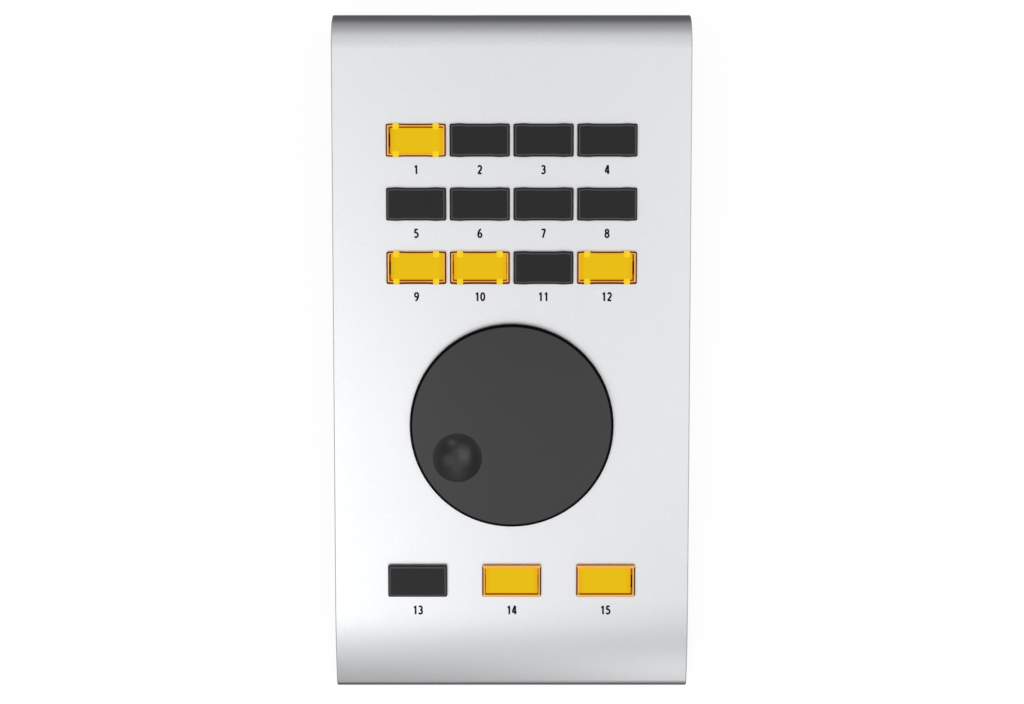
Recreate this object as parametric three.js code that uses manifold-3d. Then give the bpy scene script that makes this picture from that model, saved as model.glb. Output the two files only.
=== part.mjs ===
// Desktop controller for an audio interface. A sloping aluminium panel carries fifteen push
// buttons that light up and a large flat jog wheel; a steel tray closes it below, and the
// control board hangs between them. Millimetres: X runs right, Y to the rear, Z up, and the
// feet stand on Z = 0 under the middle of the case.

import * as THREE from "three";
import { mergeVertices } from "three/addons/utils/BufferGeometryUtils.js";
import Module from "manifold-3d";

const wasm = await Module();
wasm.setup();

// Top cover: one bent aluminium sheet, seen from the side as rear wall, panel and front curve
const CASE_WIDTH = 105;
const PANEL_TILT = THREE.MathUtils.degToRad(6);
const PANEL_RISE = 24.2; // the panel's face above the desk, over the origin
const PANEL_REAR = 88.05; // flat panel behind the origin, up to the rear bend
const PANEL_FRONT = 74.75; // flat panel before the origin, down to the front curve
const COVER_SHEET = 2;
const REAR_BEND_RADIUS = 10;
const FRONT_CURVE_RADIUS = 78;
const FRONT_CURVE_TURN = THREE.MathUtils.degToRad(19);
const LIP_BEND_RADIUS = 3;
const CASE_UNDERSIDE = 3; // height of the case's lower edge above the desk

// Folded tabs of the cover, which take the case screws
const TAB_WIDTH = 12;
const TAB_REACH = 12; // from the outer face of the wall
const TAB_FROM_SIDE = 20.5; // its middle from the case's side edge
const TAB_FOLD_RADIUS = 2.4;
const TAB_RELIEF = 0.5;
const TAB_SCREW_FROM_TIP = 4.5;

// Base tray: bent steel, floor and two cheeks
const TRAY_SHEET = 1;
const TRAY_SETBACK = 1; // cheeks stand back from the cover's side edges
const TRAY_BEND_RADIUS = 1.6;

// Rubber feet
const FOOT_RADIUS = 6;
const FOOT_TAPER = 0.6;
const FOOT_ROUNDING = 0.5;
const FOOT_FROM_SIDE = 10.5;
const FOOT_FROM_FRONT = 20.9;
const FOOT_FROM_REAR = 16.8;

// Push buttons
const BUTTON_PITCH = 18.6;
const GRID_COLUMNS = 4;
const GRID_ROWS = 3;
const GRID_REAR_ROW = 61.6; // behind the origin, along the panel
const FRONT_ROW = 68.7; // before the origin, along the panel
const BUTTON_TRAVEL = 0.5;
const CAP_WIDTH = 17.6;
const CAP_DEPTH = 9.6;
const CAP_PLATE = 1.3;
const CAP_CORNER = 0.6;
const CAP_BEVEL = 0.6;
const CAP_DRAFT = 0.08;
const CAP_STOP_GAP = 0.3; // left under the cap when it is pressed home
const SKIRT_WIDTH = 12.6;
const SKIRT_DEPTH = 6.4;
const SKIRT_WALL = 1.2;
const SKIRT_REACH = 1.2; // below the panel's face
const POST_SIDE = 4.2;

// Key switches
const SWITCH_SIDE = 10;
const SWITCH_HEIGHT = 3.8;
const SWITCH_CHAMFER = 0.8;
const SWITCH_FLOOR = 0.8;
const SWITCH_PIN_WIDTH = 1.2;
const SWITCH_PIN_REACH = 0.9;
const SWITCH_PIN_THICKNESS = 0.4;
const SWITCH_PIN_SPREAD = 5;

// Jog wheel
const WHEEL_RADIUS = 30;
const WHEEL_BEFORE_ORIGIN = 22.06; // along the panel
const WHEEL_TOP = 3.6; // above the panel's face
const WHEEL_GAP = 0.4; // under its rim
const WHEEL_EDGE_RADIUS = 0.8;
const WHEEL_LOWER_EDGE_RADIUS = 0.4;
const WHEEL_RIM = 2.5;
const WHEEL_UNDERCUT = 0.2;
const WHEEL_CROWN = 1.3; // left over the shaft's end
const HUB_RADIUS = 6;
const HUB_RUNNING_GAP = 0.7; // round the hub in the panel, and under it
const DIMPLE_RADIUS = 7.25;
const DIMPLE_DEPTH = 2.4;
const DIMPLE_FROM_AXIS = 18.5;
const DIMPLE_BEARING = THREE.MathUtils.degToRad(210.5);

// Rotary encoder under the wheel
const ENCODER_WIDTH = 13;
const ENCODER_DEPTH = 12.5;
const ENCODER_HEIGHT = 6.5;
const ENCODER_CORNER = 1;
const ENCODER_FLOOR = 1.5;
const BUSHING_RADIUS = 4.5;
const BUSHING_LENGTH = 5.3;
const SHAFT_RADIUS = 3;
const SHAFT_FLAT = 0.5; // depth of the flat that drives the wheel
const SHAFT_CHAMFER = 0.4;
const WASHER_RADIUS = 6.5;
const WASHER_THICKNESS = 0.5;
const NUT_ACROSS_CORNERS = 12.8;
const NUT_THICKNESS = 2;

// Control board, its spacers and the processor
const BOARD_TO_CHEEK = 2.5; // between its side edge and the tray's cheek
const BOARD_THICKNESS = 1.6;
const BOARD_CORNER = 2;
const BOARD_DROP = 7.5; // its upper face below the panel's face
const BOARD_PAST_PANEL = 2.25; // its front edge before the flat panel ends
const BOARD_TO_REAR_WALL = 1.2;
const SPACER_RADIUS = 3;
const SPACER_FROM_SIDE = 5; // from the board's edges
const SPACER_FROM_BACK = 16.85;
const SPACER_FROM_FRONT = 23;
const CHIP_SIDE = 10;
const CHIP_HEIGHT = 1.2;
const CHIP_CORNER = 0.3;
const CHIP_DRAFT = 0.15;
const CHIP_BEHIND_ORIGIN = 52;

// Pan-head screws
const SCREW_RADIUS = 1.45;
const SCREW_HEAD_RADIUS = 2.75;
const SCREW_HEAD_HEIGHT = 1.7;
const SCREW_HEAD_ROUNDING = 1;
const SCREW_SLOT_LENGTH = 3;
const SCREW_SLOT_WIDTH = 0.6;
const SCREW_SLOT_DEPTH = 1;
const CASE_SCREW_LENGTH = 4.6;
const BOARD_SCREW_LENGTH = 4.6;

// Square socket for the data and power lead
const USB_FROM_MIDDLE = -17;
const USB_WIDTH = 12;
const USB_HEIGHT = 11;
const USB_LENGTH = 16;
const USB_SHELL = 0.5;
const USB_CORNER = 0.8;
const USB_MOUTH_WIDTH = 8.45;
const USB_MOUTH_HEIGHT = 7.78;
const USB_MOUTH_CHAMFER = 2;
const USB_MOUTH_DEPTH = 9;
const USB_TONGUE_WIDTH = 5.6;
const USB_TONGUE_HEIGHT = 3.2;
const USB_TONGUE_SETBACK = 1;

// Foot switch socket for a 6.35 mm plug
const JACK_FROM_MIDDLE = 17;
const JACK_WIDTH = 14.5;
const JACK_HEIGHT = 12;
const JACK_LENGTH = 21;
const JACK_CORNER = 0.8;
const JACK_NOSE_RADIUS = 4.75;
const JACK_BORE_RADIUS = 3.35;
const JACK_WALL = 1.5;

// Clearances and cuts
const FIT_GAP = 0.3; // between a piece and what it seats on
const SCREW_GAP = 0.2; // round a screw in its hole
const FLUSH_GAP = 0.2; // a socket's mouth stands this far inside the rear wall's face
const OVERRUN = 1; // how far a cut runs past the piece it cuts
const WELD_DISTANCE = 0.0001;

// Facets
const BEND_STEPS = 5;
const CORNER_STEPS = 2;
const CHAMFER_STEPS = 1;
const WHEEL_STEPS = 72;
const HUB_STEPS = 28;
const SCREW_STEPS = 12;
const EDGE_STEPS = 3;
const DIMPLE_STEPS = 36;
const BORE_STEPS = 20;

// Places that several pieces share: edges, and heights over the panel's face
const caseSide = CASE_WIDTH / 2;
const rearWall = PANEL_REAR + REAR_BEND_RADIUS;
const boardTop = -BOARD_DROP;
const boardBottom = boardTop - BOARD_THICKNESS;
const boardSide = caseSide - TRAY_SETBACK - TRAY_SHEET - BOARD_TO_CHEEK;
const boardBack = rearWall - COVER_SHEET - BOARD_TO_REAR_WALL;
const boardFront = PANEL_FRONT + BOARD_PAST_PANEL;
const capTop = BUTTON_TRAVEL + CAP_STOP_GAP + CAP_PLATE;
const capBottom = capTop - CAP_PLATE;
const switchBottom = boardTop + FIT_GAP;
const switchTop = switchBottom + SWITCH_HEIGHT;
const postBottom = switchBottom + SWITCH_FLOOR + FIT_GAP + BUTTON_TRAVEL;
const encoderTop = boardBottom - FIT_GAP;
const bushingTop = encoderTop + BUSHING_LENGTH;
const hubBottom = bushingTop + HUB_RUNNING_GAP;
const shaftTop = WHEEL_TOP - WHEEL_CROWN - FIT_GAP;
const trayTop = CASE_UNDERSIDE + TRAY_SHEET;
const tabBottom = trayTop + FLUSH_GAP;

const anodised = { color: 0xe9e9ee, roughness: 0.45, metalness: 0.35 };
const powderCoat = { color: 0x1d1d1f, roughness: 0.6, metalness: 0.1 };
const darkPlastic = { color: 0x313131, roughness: 0.35, metalness: 0 };
const amberPlastic = { color: 0xecc117, roughness: 0.3, metalness: 0 };
const wheelGrey = { color: 0x48484a, roughness: 0.42, metalness: 0.2 };
const rubber = { color: 0x1a1a1a, roughness: 0.9, metalness: 0 };
const laminate = { color: 0x1f4d2e, roughness: 0.5, metalness: 0 };
const plated = { color: 0xc8c8c6, roughness: 0.3, metalness: 0.9 };
const blackPlastic = { color: 0x161616, roughness: 0.5, metalness: 0 };
const whitePlastic = { color: 0xe8e6df, roughness: 0.5, metalness: 0 };

// Turns a closed three.js geometry into a solid that can be joined or cut.
function solidOf(geometry) {
  const plain = geometry.index ? geometry.toNonIndexed() : geometry.clone();
  plain.deleteAttribute("normal");
  plain.deleteAttribute("uv");
  const merged = mergeVertices(plain, WELD_DISTANCE);
  return new wasm.Manifold(
    new wasm.Mesh({
      numProp: 3,
      vertProperties: merged.attributes.position.array,
      triVerts: new Uint32Array(merged.index.array),
    }),
  );
}

// Turns a solid back into a geometry with flat facets.
function geometryOf(solid) {
  const mesh = solid.getMesh();
  const geometry = new THREE.BufferGeometry();
  geometry.setAttribute("position", new THREE.BufferAttribute(mesh.vertProperties, mesh.numProp));
  geometry.setIndex(new THREE.BufferAttribute(mesh.triVerts, 1));
  const flat = geometry.toNonIndexed();
  flat.computeVertexNormals();
  return flat;
}

function cut(body, tools) {
  let solid = solidOf(body);
  for (const tool of tools) {
    solid = solid.subtract(solidOf(tool));
  }
  return geometryOf(solid);
}

function join(bodies) {
  let solid = solidOf(bodies[0]);
  for (const body of bodies.slice(1)) {
    solid = solid.add(solidOf(body));
  }
  return geometryOf(solid);
}

function common(first, second) {
  return geometryOf(solidOf(first).intersect(solidOf(second)));
}

// A rectangle with round corners about the origin, as a closed ring of points.
function roundedRing(width, depth, radius, steps = CORNER_STEPS) {
  const ring = [];
  for (let corner = 0; corner < 4; corner += 1) {
    const start = (corner * Math.PI) / 2;
    const middle = start + Math.PI / 4;
    const centreX = Math.sign(Math.cos(middle)) * (width / 2 - radius);
    const centreY = Math.sign(Math.sin(middle)) * (depth / 2 - radius);
    for (let step = 0; step <= steps; step += 1) {
      const angle = start + (step / steps) * (Math.PI / 2);
      ring.push(
        new THREE.Vector2(
          centreX + radius * Math.cos(angle),
          centreY + radius * Math.sin(angle),
        ),
      );
    }
  }
  return ring;
}

// A closed body through rings of equally many points, each { ring, height }, lowest first.
function loft(sections) {
  const positions = [];
  const corner = (section, index) => {
    const point = section.ring[index % section.ring.length];
    positions.push(point.x, point.y, section.height);
  };
  const triangle = (first, a, second, b, third, c) => {
    corner(first, a);
    corner(second, b);
    corner(third, c);
  };
  const lowest = sections[0];
  const highest = sections[sections.length - 1];
  const count = lowest.ring.length;
  for (let level = 1; level < sections.length; level += 1) {
    const below = sections[level - 1];
    const above = sections[level];
    for (let i = 0; i < count; i += 1) {
      triangle(below, i, below, i + 1, above, i + 1);
      triangle(below, i, above, i + 1, above, i);
    }
  }
  for (let i = 1; i < count - 1; i += 1) {
    triangle(lowest, 0, lowest, i + 1, lowest, i);
    triangle(highest, 0, highest, i, highest, i + 1);
  }
  const geometry = new THREE.BufferGeometry();
  geometry.setAttribute("position", new THREE.Float32BufferAttribute(positions, 3));
  geometry.computeVertexNormals();
  return geometry;
}

// A straight prism of a ring between two heights.
function prism(ring, bottom, top) {
  return loft([
    { ring, height: bottom },
    { ring, height: top },
  ]);
}

// A round body about the Z axis from a profile of [radius, height] points, lowest first.
function revolve(profile, steps) {
  const points = profile.map(([radius, height]) => new THREE.Vector2(radius, height));
  const geometry = new THREE.LatheGeometry(points, steps);
  geometry.rotateX(Math.PI / 2);
  return geometry;
}

function rod(radius, bottom, top, steps) {
  return revolve([[0, bottom], [radius, bottom], [radius, top], [0, top]], steps);
}

// Points of a round edge in a profile, from one angle to another.
function roundedEdge(centreRadius, centreHeight, radius, from, to) {
  const points = [];
  for (let step = 0; step <= EDGE_STEPS; step += 1) {
    const angle = from + (step / EDGE_STEPS) * (to - from);
    points.push([centreRadius + radius * Math.cos(angle), centreHeight + radius * Math.sin(angle)]);
  }
  return points;
}

// Lays an outline drawn in Y and Z out along X, over a width centred on a place across the case.
const alongX = new THREE.Matrix4().makeBasis(
  new THREE.Vector3(0, 1, 0),
  new THREE.Vector3(0, 0, 1),
  new THREE.Vector3(1, 0, 0),
);

function acrossCase(outline, width, middle) {
  const geometry = new THREE.ExtrudeGeometry(new THREE.Shape(outline), {
    depth: width,
    bevelEnabled: false,
  });
  geometry.translate(0, 0, middle - width / 2);
  geometry.applyMatrix4(alongX);
  return geometry;
}

// A point of the case's side view, from its distance along the panel and over its face.
function panelPoint(along, over) {
  return new THREE.Vector2(
    along * Math.cos(PANEL_TILT) - over * Math.sin(PANEL_TILT),
    PANEL_RISE + along * Math.sin(PANEL_TILT) + over * Math.cos(PANEL_TILT),
  );
}

function turned(centre, radius, angle) {
  return new THREE.Vector2(
    centre.x + radius * Math.cos(angle),
    centre.y + radius * Math.sin(angle),
  );
}

const panelNormal = Math.PI / 2 + PANEL_TILT;
const lipNormal = panelNormal + FRONT_CURVE_TURN;
const rearBendCentre = panelPoint(PANEL_REAR, -REAR_BEND_RADIUS);
const frontCurveCentre = panelPoint(-PANEL_FRONT, -FRONT_CURVE_RADIUS);
const lipCentre = turned(frontCurveCentre, FRONT_CURVE_RADIUS - LIP_BEND_RADIUS, lipNormal);
const caseFront = lipCentre.x - LIP_BEND_RADIUS;
const caseRear = rearWall / Math.cos(PANEL_TILT)
  + (PANEL_RISE - CASE_UNDERSIDE) * Math.tan(PANEL_TILT);

// The case's side outline a given distance inside the cover's outer face, from the lower edge
// of the rear wall over the panel to the lower edge of the front lip.
function caseOutline(inset) {
  const path = new THREE.Path();
  const rearTop = turned(rearBendCentre, REAR_BEND_RADIUS - inset, PANEL_TILT);
  const drop = (rearTop.y - CASE_UNDERSIDE) * Math.tan(PANEL_TILT);
  path.moveTo(rearTop.x + drop, CASE_UNDERSIDE);
  path.lineTo(rearTop.x, rearTop.y);
  path.absarc(
    rearBendCentre.x,
    rearBendCentre.y,
    REAR_BEND_RADIUS - inset,
    PANEL_TILT,
    panelNormal,
  );
  path.absarc(
    frontCurveCentre.x,
    frontCurveCentre.y,
    FRONT_CURVE_RADIUS - inset,
    panelNormal,
    lipNormal,
  );
  path.absarc(lipCentre.x, lipCentre.y, LIP_BEND_RADIUS - inset, lipNormal, Math.PI);
  path.lineTo(caseFront + inset, CASE_UNDERSIDE);
  return path.getPoints(BEND_STEPS);
}

// A strip of the cover's sheet between an outer line and the same line one sheet further in.
function sheetOutline(lineAt) {
  return [...lineAt(0), ...lineAt(COVER_SHEET).reverse()];
}

// The front tab: down the lip, round the fold and back under the case.
const frontFold = new THREE.Vector2(caseFront + TAB_FOLD_RADIUS, tabBottom + TAB_FOLD_RADIUS);
const frontTabTip = caseFront + TAB_REACH;

function frontTabLine(inset) {
  const path = new THREE.Path();
  const radius = TAB_FOLD_RADIUS - inset;
  path.moveTo(frontFold.x - radius, frontFold.y + TAB_RELIEF);
  path.lineTo(frontFold.x - radius, frontFold.y);
  path.absarc(frontFold.x, frontFold.y, radius, Math.PI, 1.5 * Math.PI);
  path.lineTo(frontTabTip, tabBottom + inset);
  return path.getPoints(BEND_STEPS);
}

// The rear tab: from its tip back to the rear wall, round the fold and up the leaning wall.
const rearFoldHeight = tabBottom + TAB_FOLD_RADIUS;
const rearFold = new THREE.Vector2(
  (rearWall - TAB_FOLD_RADIUS - (rearFoldHeight - PANEL_RISE) * Math.sin(PANEL_TILT))
    / Math.cos(PANEL_TILT),
  rearFoldHeight,
);
const rearTabTip = rearFold.x + TAB_FOLD_RADIUS - TAB_REACH;

function rearTabLine(inset) {
  const path = new THREE.Path();
  const radius = TAB_FOLD_RADIUS - inset;
  const end = turned(rearFold, radius, PANEL_TILT);
  path.moveTo(rearTabTip, tabBottom + inset);
  path.lineTo(rearFold.x, tabBottom + inset);
  path.absarc(rearFold.x, rearFold.y, radius, -Math.PI / 2, PANEL_TILT);
  path.lineTo(
    end.x - TAB_RELIEF * Math.sin(PANEL_TILT),
    end.y + TAB_RELIEF * Math.cos(PANEL_TILT),
  );
  return path.getPoints(BEND_STEPS);
}

// Where everything on and under the panel is placed: x, along the panel, over its face.
const panel = new THREE.Group();
panel.position.set(0, 0, PANEL_RISE);
panel.rotation.x = PANEL_TILT;
panel.updateMatrix();

// What passes the rear wall: x, depth under the panel's face, out of the wall's outer face.
const rear = new THREE.Group();
rear.position.set(0, rearWall, 0);
rear.rotation.x = -Math.PI / 2;
rear.updateMatrix();

function onPanel(geometry, x, along) {
  geometry.translate(x, along, 0);
  geometry.applyMatrix4(panel.matrix);
  return geometry;
}

function onRearWall(geometry, x, depth) {
  geometry.translate(x, depth, 0);
  geometry.applyMatrix4(rear.matrix);
  geometry.applyMatrix4(panel.matrix);
  return geometry;
}

// Button places: the grid from its rear left corner row by row, then the front row.
function buttonPlaces() {
  const places = [];
  const outerColumn = ((GRID_COLUMNS - 1) / 2) * BUTTON_PITCH;
  for (let row = 0; row < GRID_ROWS; row += 1) {
    for (let column = 0; column < GRID_COLUMNS; column += 1) {
      places.push({
        x: column * BUTTON_PITCH - outerColumn,
        along: GRID_REAR_ROW - row * BUTTON_PITCH,
      });
    }
  }
  for (const x of [-outerColumn, 0, outerColumn]) {
    places.push({ x, along: -FRONT_ROW });
  }
  return places;
}

// The four corners of a rectangle that is even from left to right.
function cornerPlaces(fromMiddle, front, back) {
  return [
    { name: "front_left", x: -fromMiddle, y: -front },
    { name: "front_right", x: fromMiddle, y: -front },
    { name: "rear_left", x: -fromMiddle, y: back },
    { name: "rear_right", x: fromMiddle, y: back },
  ];
}

const buttons = buttonPlaces();
const spacers = cornerPlaces(
  boardSide - SPACER_FROM_SIDE,
  boardFront - SPACER_FROM_FRONT,
  boardBack - SPACER_FROM_BACK,
);
const feet = cornerPlaces(
  caseSide - FOOT_FROM_SIDE,
  -caseFront - FOOT_FROM_FRONT,
  caseRear - FOOT_FROM_REAR,
);
const tabFromMiddle = caseSide - TAB_FROM_SIDE;
const caseScrews = cornerPlaces(
  tabFromMiddle,
  TAB_SCREW_FROM_TIP - frontTabTip,
  rearTabTip + TAB_SCREW_FROM_TIP,
);
const usbDepth = BOARD_DROP + BOARD_THICKNESS + FIT_GAP + USB_HEIGHT / 2;
const jackDepth = BOARD_DROP + BOARD_THICKNESS + FIT_GAP + JACK_HEIGHT / 2;

// Cover: the bent sheet with its windows, sockets and folded tabs
function topCover() {
  const slotWidth = TAB_WIDTH + 2 * TAB_RELIEF;
  const slotLength = COVER_SHEET + 2 * OVERRUN;
  const cuts = [];
  for (const side of [-tabFromMiddle, tabFromMiddle]) {
    for (const [middle, top] of [
      [caseFront + COVER_SHEET / 2, frontFold.y],
      [rearFold.x + TAB_FOLD_RADIUS - COVER_SHEET / 2, rearFold.y],
    ]) {
      const height = top - CASE_UNDERSIDE + OVERRUN;
      const slot = new THREE.BoxGeometry(slotWidth, slotLength, height);
      slot.translate(side, middle, top - height / 2);
      cuts.push(slot);
    }
  }
  for (const { x, along } of buttons) {
    const ring = roundedRing(
      SKIRT_WIDTH + 2 * FIT_GAP,
      SKIRT_DEPTH + 2 * FIT_GAP,
      CAP_CORNER + FIT_GAP,
    );
    cuts.push(onPanel(prism(ring, -COVER_SHEET - OVERRUN, OVERRUN), x, along));
  }
  const hubHole = rod(HUB_RADIUS + HUB_RUNNING_GAP, -COVER_SHEET - OVERRUN, OVERRUN, HUB_STEPS);
  cuts.push(onPanel(hubHole, 0, -WHEEL_BEFORE_ORIGIN));
  const usbRing = roundedRing(
    USB_WIDTH + 2 * FIT_GAP,
    USB_HEIGHT + 2 * FIT_GAP,
    USB_CORNER + FIT_GAP,
  );
  const usbHole = prism(usbRing, -COVER_SHEET - OVERRUN, OVERRUN);
  cuts.push(onRearWall(usbHole, USB_FROM_MIDDLE, usbDepth));
  const jackHole = rod(JACK_NOSE_RADIUS + FIT_GAP, -COVER_SHEET - OVERRUN, OVERRUN, BORE_STEPS);
  cuts.push(onRearWall(jackHole, JACK_FROM_MIDDLE, jackDepth));

  const sheet = acrossCase(sheetOutline(caseOutline), CASE_WIDTH, 0);
  const tabs = [];
  for (const side of [-tabFromMiddle, tabFromMiddle]) {
    tabs.push(acrossCase(sheetOutline(frontTabLine), TAB_WIDTH, side));
    tabs.push(acrossCase(sheetOutline(rearTabLine), TAB_WIDTH, side));
  }
  const threads = caseScrews.map(({ x, y }) => {
    const thread = rod(
      SCREW_RADIUS + SCREW_GAP,
      tabBottom - OVERRUN,
      tabBottom + COVER_SHEET + OVERRUN,
      SCREW_STEPS,
    );
    thread.translate(x, y, 0);
    return thread;
  });
  return cut(join([cut(sheet, cuts), ...tabs]), threads);
}

// Tray: a bent channel, trimmed to the case's side outline just inside the cover
function baseTray() {
  const width = CASE_WIDTH - 2 * TRAY_SETBACK;
  const tall = PANEL_RISE + rearWall;
  const outer = roundedRing(width, 2 * tall, TRAY_BEND_RADIUS);
  const inner = roundedRing(
    width - 2 * TRAY_SHEET,
    2 * (tall - TRAY_SHEET),
    TRAY_BEND_RADIUS - TRAY_SHEET,
  );
  const halfLength = rearWall + REAR_BEND_RADIUS;
  const tube = cut(prism(outer, -halfLength, halfLength), [
    prism(inner, -halfLength - OVERRUN, halfLength + OVERRUN),
  ]);
  tube.rotateX(Math.PI / 2);
  tube.translate(0, 0, CASE_UNDERSIDE + tall);
  const profile = acrossCase(caseOutline(COVER_SHEET + FIT_GAP), CASE_WIDTH, 0);
  const holes = caseScrews.map(({ x, y }) => {
    const hole = rod(
      SCREW_RADIUS + SCREW_GAP,
      CASE_UNDERSIDE - OVERRUN,
      trayTop + OVERRUN,
      SCREW_STEPS,
    );
    hole.translate(x, y, 0);
    return hole;
  });
  return cut(common(tube, profile), holes);
}

// Foot: a moulded rubber disc, a little wider at the top
function foot() {
  const lower = FOOT_RADIUS - FOOT_TAPER;
  return revolve(
    [
      [0, 0],
      ...roundedEdge(lower - FOOT_ROUNDING, FOOT_ROUNDING, FOOT_ROUNDING, -Math.PI / 2, 0),
      [FOOT_RADIUS, CASE_UNDERSIDE],
      [0, CASE_UNDERSIDE],
    ],
    BORE_STEPS,
  );
}

// Cap: a bevelled plate on a hollow skirt, with a post down into the switch
function buttonCap() {
  const plate = (inset, height) => ({
    ring: roundedRing(CAP_WIDTH - 2 * inset, CAP_DEPTH - 2 * inset, CAP_CORNER),
    height,
  });
  const skirt = (height) => ({
    ring: roundedRing(SKIRT_WIDTH, SKIRT_DEPTH, CAP_CORNER),
    height,
  });
  const body = loft([
    skirt(-SKIRT_REACH),
    skirt(capBottom),
    plate(0, capBottom),
    plate(CAP_DRAFT, capTop - CAP_BEVEL),
    plate(CAP_DRAFT + CAP_BEVEL, capTop),
  ]);
  const hollow = prism(
    roundedRing(
      SKIRT_WIDTH - 2 * SKIRT_WALL,
      SKIRT_DEPTH - 2 * SKIRT_WALL,
      CAP_CORNER,
      CHAMFER_STEPS,
    ),
    -SKIRT_REACH - OVERRUN,
    capBottom,
  );
  const postRing = roundedRing(POST_SIDE, POST_SIDE, CAP_CORNER, CHAMFER_STEPS);
  const post = prism(postRing, postBottom, capBottom + CAP_BEVEL);
  return join([cut(body, [hollow]), post]);
}

// Key switch: a chamfered housing with a square well, and a solder pin at each corner
function keySwitch() {
  const housing = prism(
    roundedRing(SWITCH_SIDE, SWITCH_SIDE, SWITCH_CHAMFER, CHAMFER_STEPS),
    switchBottom,
    switchTop,
  );
  const well = prism(
    roundedRing(POST_SIDE + 2 * FIT_GAP, POST_SIDE + 2 * FIT_GAP, CAP_CORNER, CHAMFER_STEPS),
    switchBottom + SWITCH_FLOOR,
    switchTop + OVERRUN,
  );
  const pins = [];
  for (const place of [-SWITCH_PIN_SPREAD / 2, SWITCH_PIN_SPREAD / 2]) {
    const pin = new THREE.BoxGeometry(
      SWITCH_SIDE + 2 * SWITCH_PIN_REACH,
      SWITCH_PIN_WIDTH,
      SWITCH_PIN_THICKNESS,
    );
    pin.translate(0, place, switchBottom + SWITCH_PIN_THICKNESS / 2);
    pins.push(pin);
  }
  return join([cut(housing, [well]), ...pins]);
}

// Wheel: a flat disc with rounded edges, a hub down through the panel and a finger dimple
function jogWheel() {
  const underside = WHEEL_GAP + WHEEL_UNDERCUT;
  const disc = revolve(
    [
      [0, hubBottom],
      [HUB_RADIUS, hubBottom],
      [HUB_RADIUS, underside],
      [WHEEL_RADIUS - WHEEL_RIM, underside],
      [WHEEL_RADIUS - WHEEL_RIM, WHEEL_GAP],
      ...roundedEdge(
        WHEEL_RADIUS - WHEEL_LOWER_EDGE_RADIUS,
        WHEEL_GAP + WHEEL_LOWER_EDGE_RADIUS,
        WHEEL_LOWER_EDGE_RADIUS,
        -Math.PI / 2,
        0,
      ),
      ...roundedEdge(
        WHEEL_RADIUS - WHEEL_EDGE_RADIUS,
        WHEEL_TOP - WHEEL_EDGE_RADIUS,
        WHEEL_EDGE_RADIUS,
        0,
        Math.PI / 2,
      ),
      [0, WHEEL_TOP],
    ],
    WHEEL_STEPS,
  );
  const ballRadius = (DIMPLE_RADIUS ** 2 + DIMPLE_DEPTH ** 2) / (2 * DIMPLE_DEPTH);
  const dimple = new THREE.SphereGeometry(ballRadius, DIMPLE_STEPS, DIMPLE_STEPS);
  dimple.rotateX(Math.PI / 2);
  dimple.translate(
    DIMPLE_FROM_AXIS * Math.cos(DIMPLE_BEARING),
    DIMPLE_FROM_AXIS * Math.sin(DIMPLE_BEARING),
    WHEEL_TOP - DIMPLE_DEPTH + ballRadius,
  );
  return cut(disc, [dimple, drivenRod(FIT_GAP, hubBottom - OVERRUN, shaftTop + FIT_GAP)]);
}

// A rod with the shaft's flat on one side, a given gap larger all round.
function drivenRod(gap, bottom, top) {
  const side = 2 * (SHAFT_RADIUS + gap + OVERRUN);
  const flat = new THREE.BoxGeometry(side, side, top - bottom + 2 * OVERRUN);
  flat.translate(SHAFT_RADIUS - SHAFT_FLAT + gap + side / 2, 0, (bottom + top) / 2);
  return cut(rod(SHAFT_RADIUS + gap, bottom, top, BORE_STEPS), [flat]);
}

// Encoder shaft: round in the bushing, flat on one side in the hub
function encoderShaft() {
  const bottom = encoderTop - ENCODER_HEIGHT + ENCODER_FLOOR + FIT_GAP;
  const round = rod(SHAFT_RADIUS, bottom, hubBottom, BORE_STEPS);
  const chamfered = revolve(
    [
      [0, bottom],
      [SHAFT_RADIUS, bottom],
      [SHAFT_RADIUS, shaftTop - SHAFT_CHAMFER],
      [SHAFT_RADIUS - SHAFT_CHAMFER, shaftTop],
      [0, shaftTop],
    ],
    BORE_STEPS,
  );
  return join([round, common(chamfered, drivenRod(0, bottom, shaftTop))]);
}

// Encoder body: its housing under the board and the threaded bushing up through it
function encoderBody() {
  const bottom = encoderTop - ENCODER_HEIGHT;
  const housing = prism(
    roundedRing(ENCODER_WIDTH, ENCODER_DEPTH, ENCODER_CORNER),
    bottom,
    encoderTop,
  );
  const bushing = rod(BUSHING_RADIUS, bottom + ENCODER_FLOOR, bushingTop, BORE_STEPS);
  const bore = rod(
    SHAFT_RADIUS + FIT_GAP,
    bottom + ENCODER_FLOOR,
    bushingTop + OVERRUN,
    BORE_STEPS,
  );
  return cut(join([housing, bushing]), [bore]);
}

// A ring that the bushing passes, round or six-sided outside
function collar(radius, sides, bottom, top) {
  const bore = rod(BUSHING_RADIUS + FIT_GAP, bottom - OVERRUN, top + OVERRUN, BORE_STEPS);
  return cut(rod(radius, bottom, top, sides), [bore]);
}

// Board: one outline with the holes for the screws and the bushing
function controlBoard() {
  const middle = (boardBack - boardFront) / 2;
  const outline = roundedRing(2 * boardSide, boardBack + boardFront, BOARD_CORNER);
  const shape = new THREE.Shape(outline.map((point) => new THREE.Vector2(point.x, point.y + middle)));
  const hole = (x, y, radius) => {
    const path = new THREE.Path();
    path.absarc(x, y, radius, 0, 2 * Math.PI, true);
    shape.holes.push(path);
  };
  for (const { x, y } of spacers) {
    hole(x, y, SCREW_RADIUS + SCREW_GAP);
  }
  hole(0, -WHEEL_BEFORE_ORIGIN, BUSHING_RADIUS + FIT_GAP);
  const board = new THREE.ExtrudeGeometry(shape, {
    depth: BOARD_THICKNESS,
    bevelEnabled: false,
    curveSegments: BORE_STEPS / 2,
  });
  board.translate(0, 0, boardBottom);
  return board;
}

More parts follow.
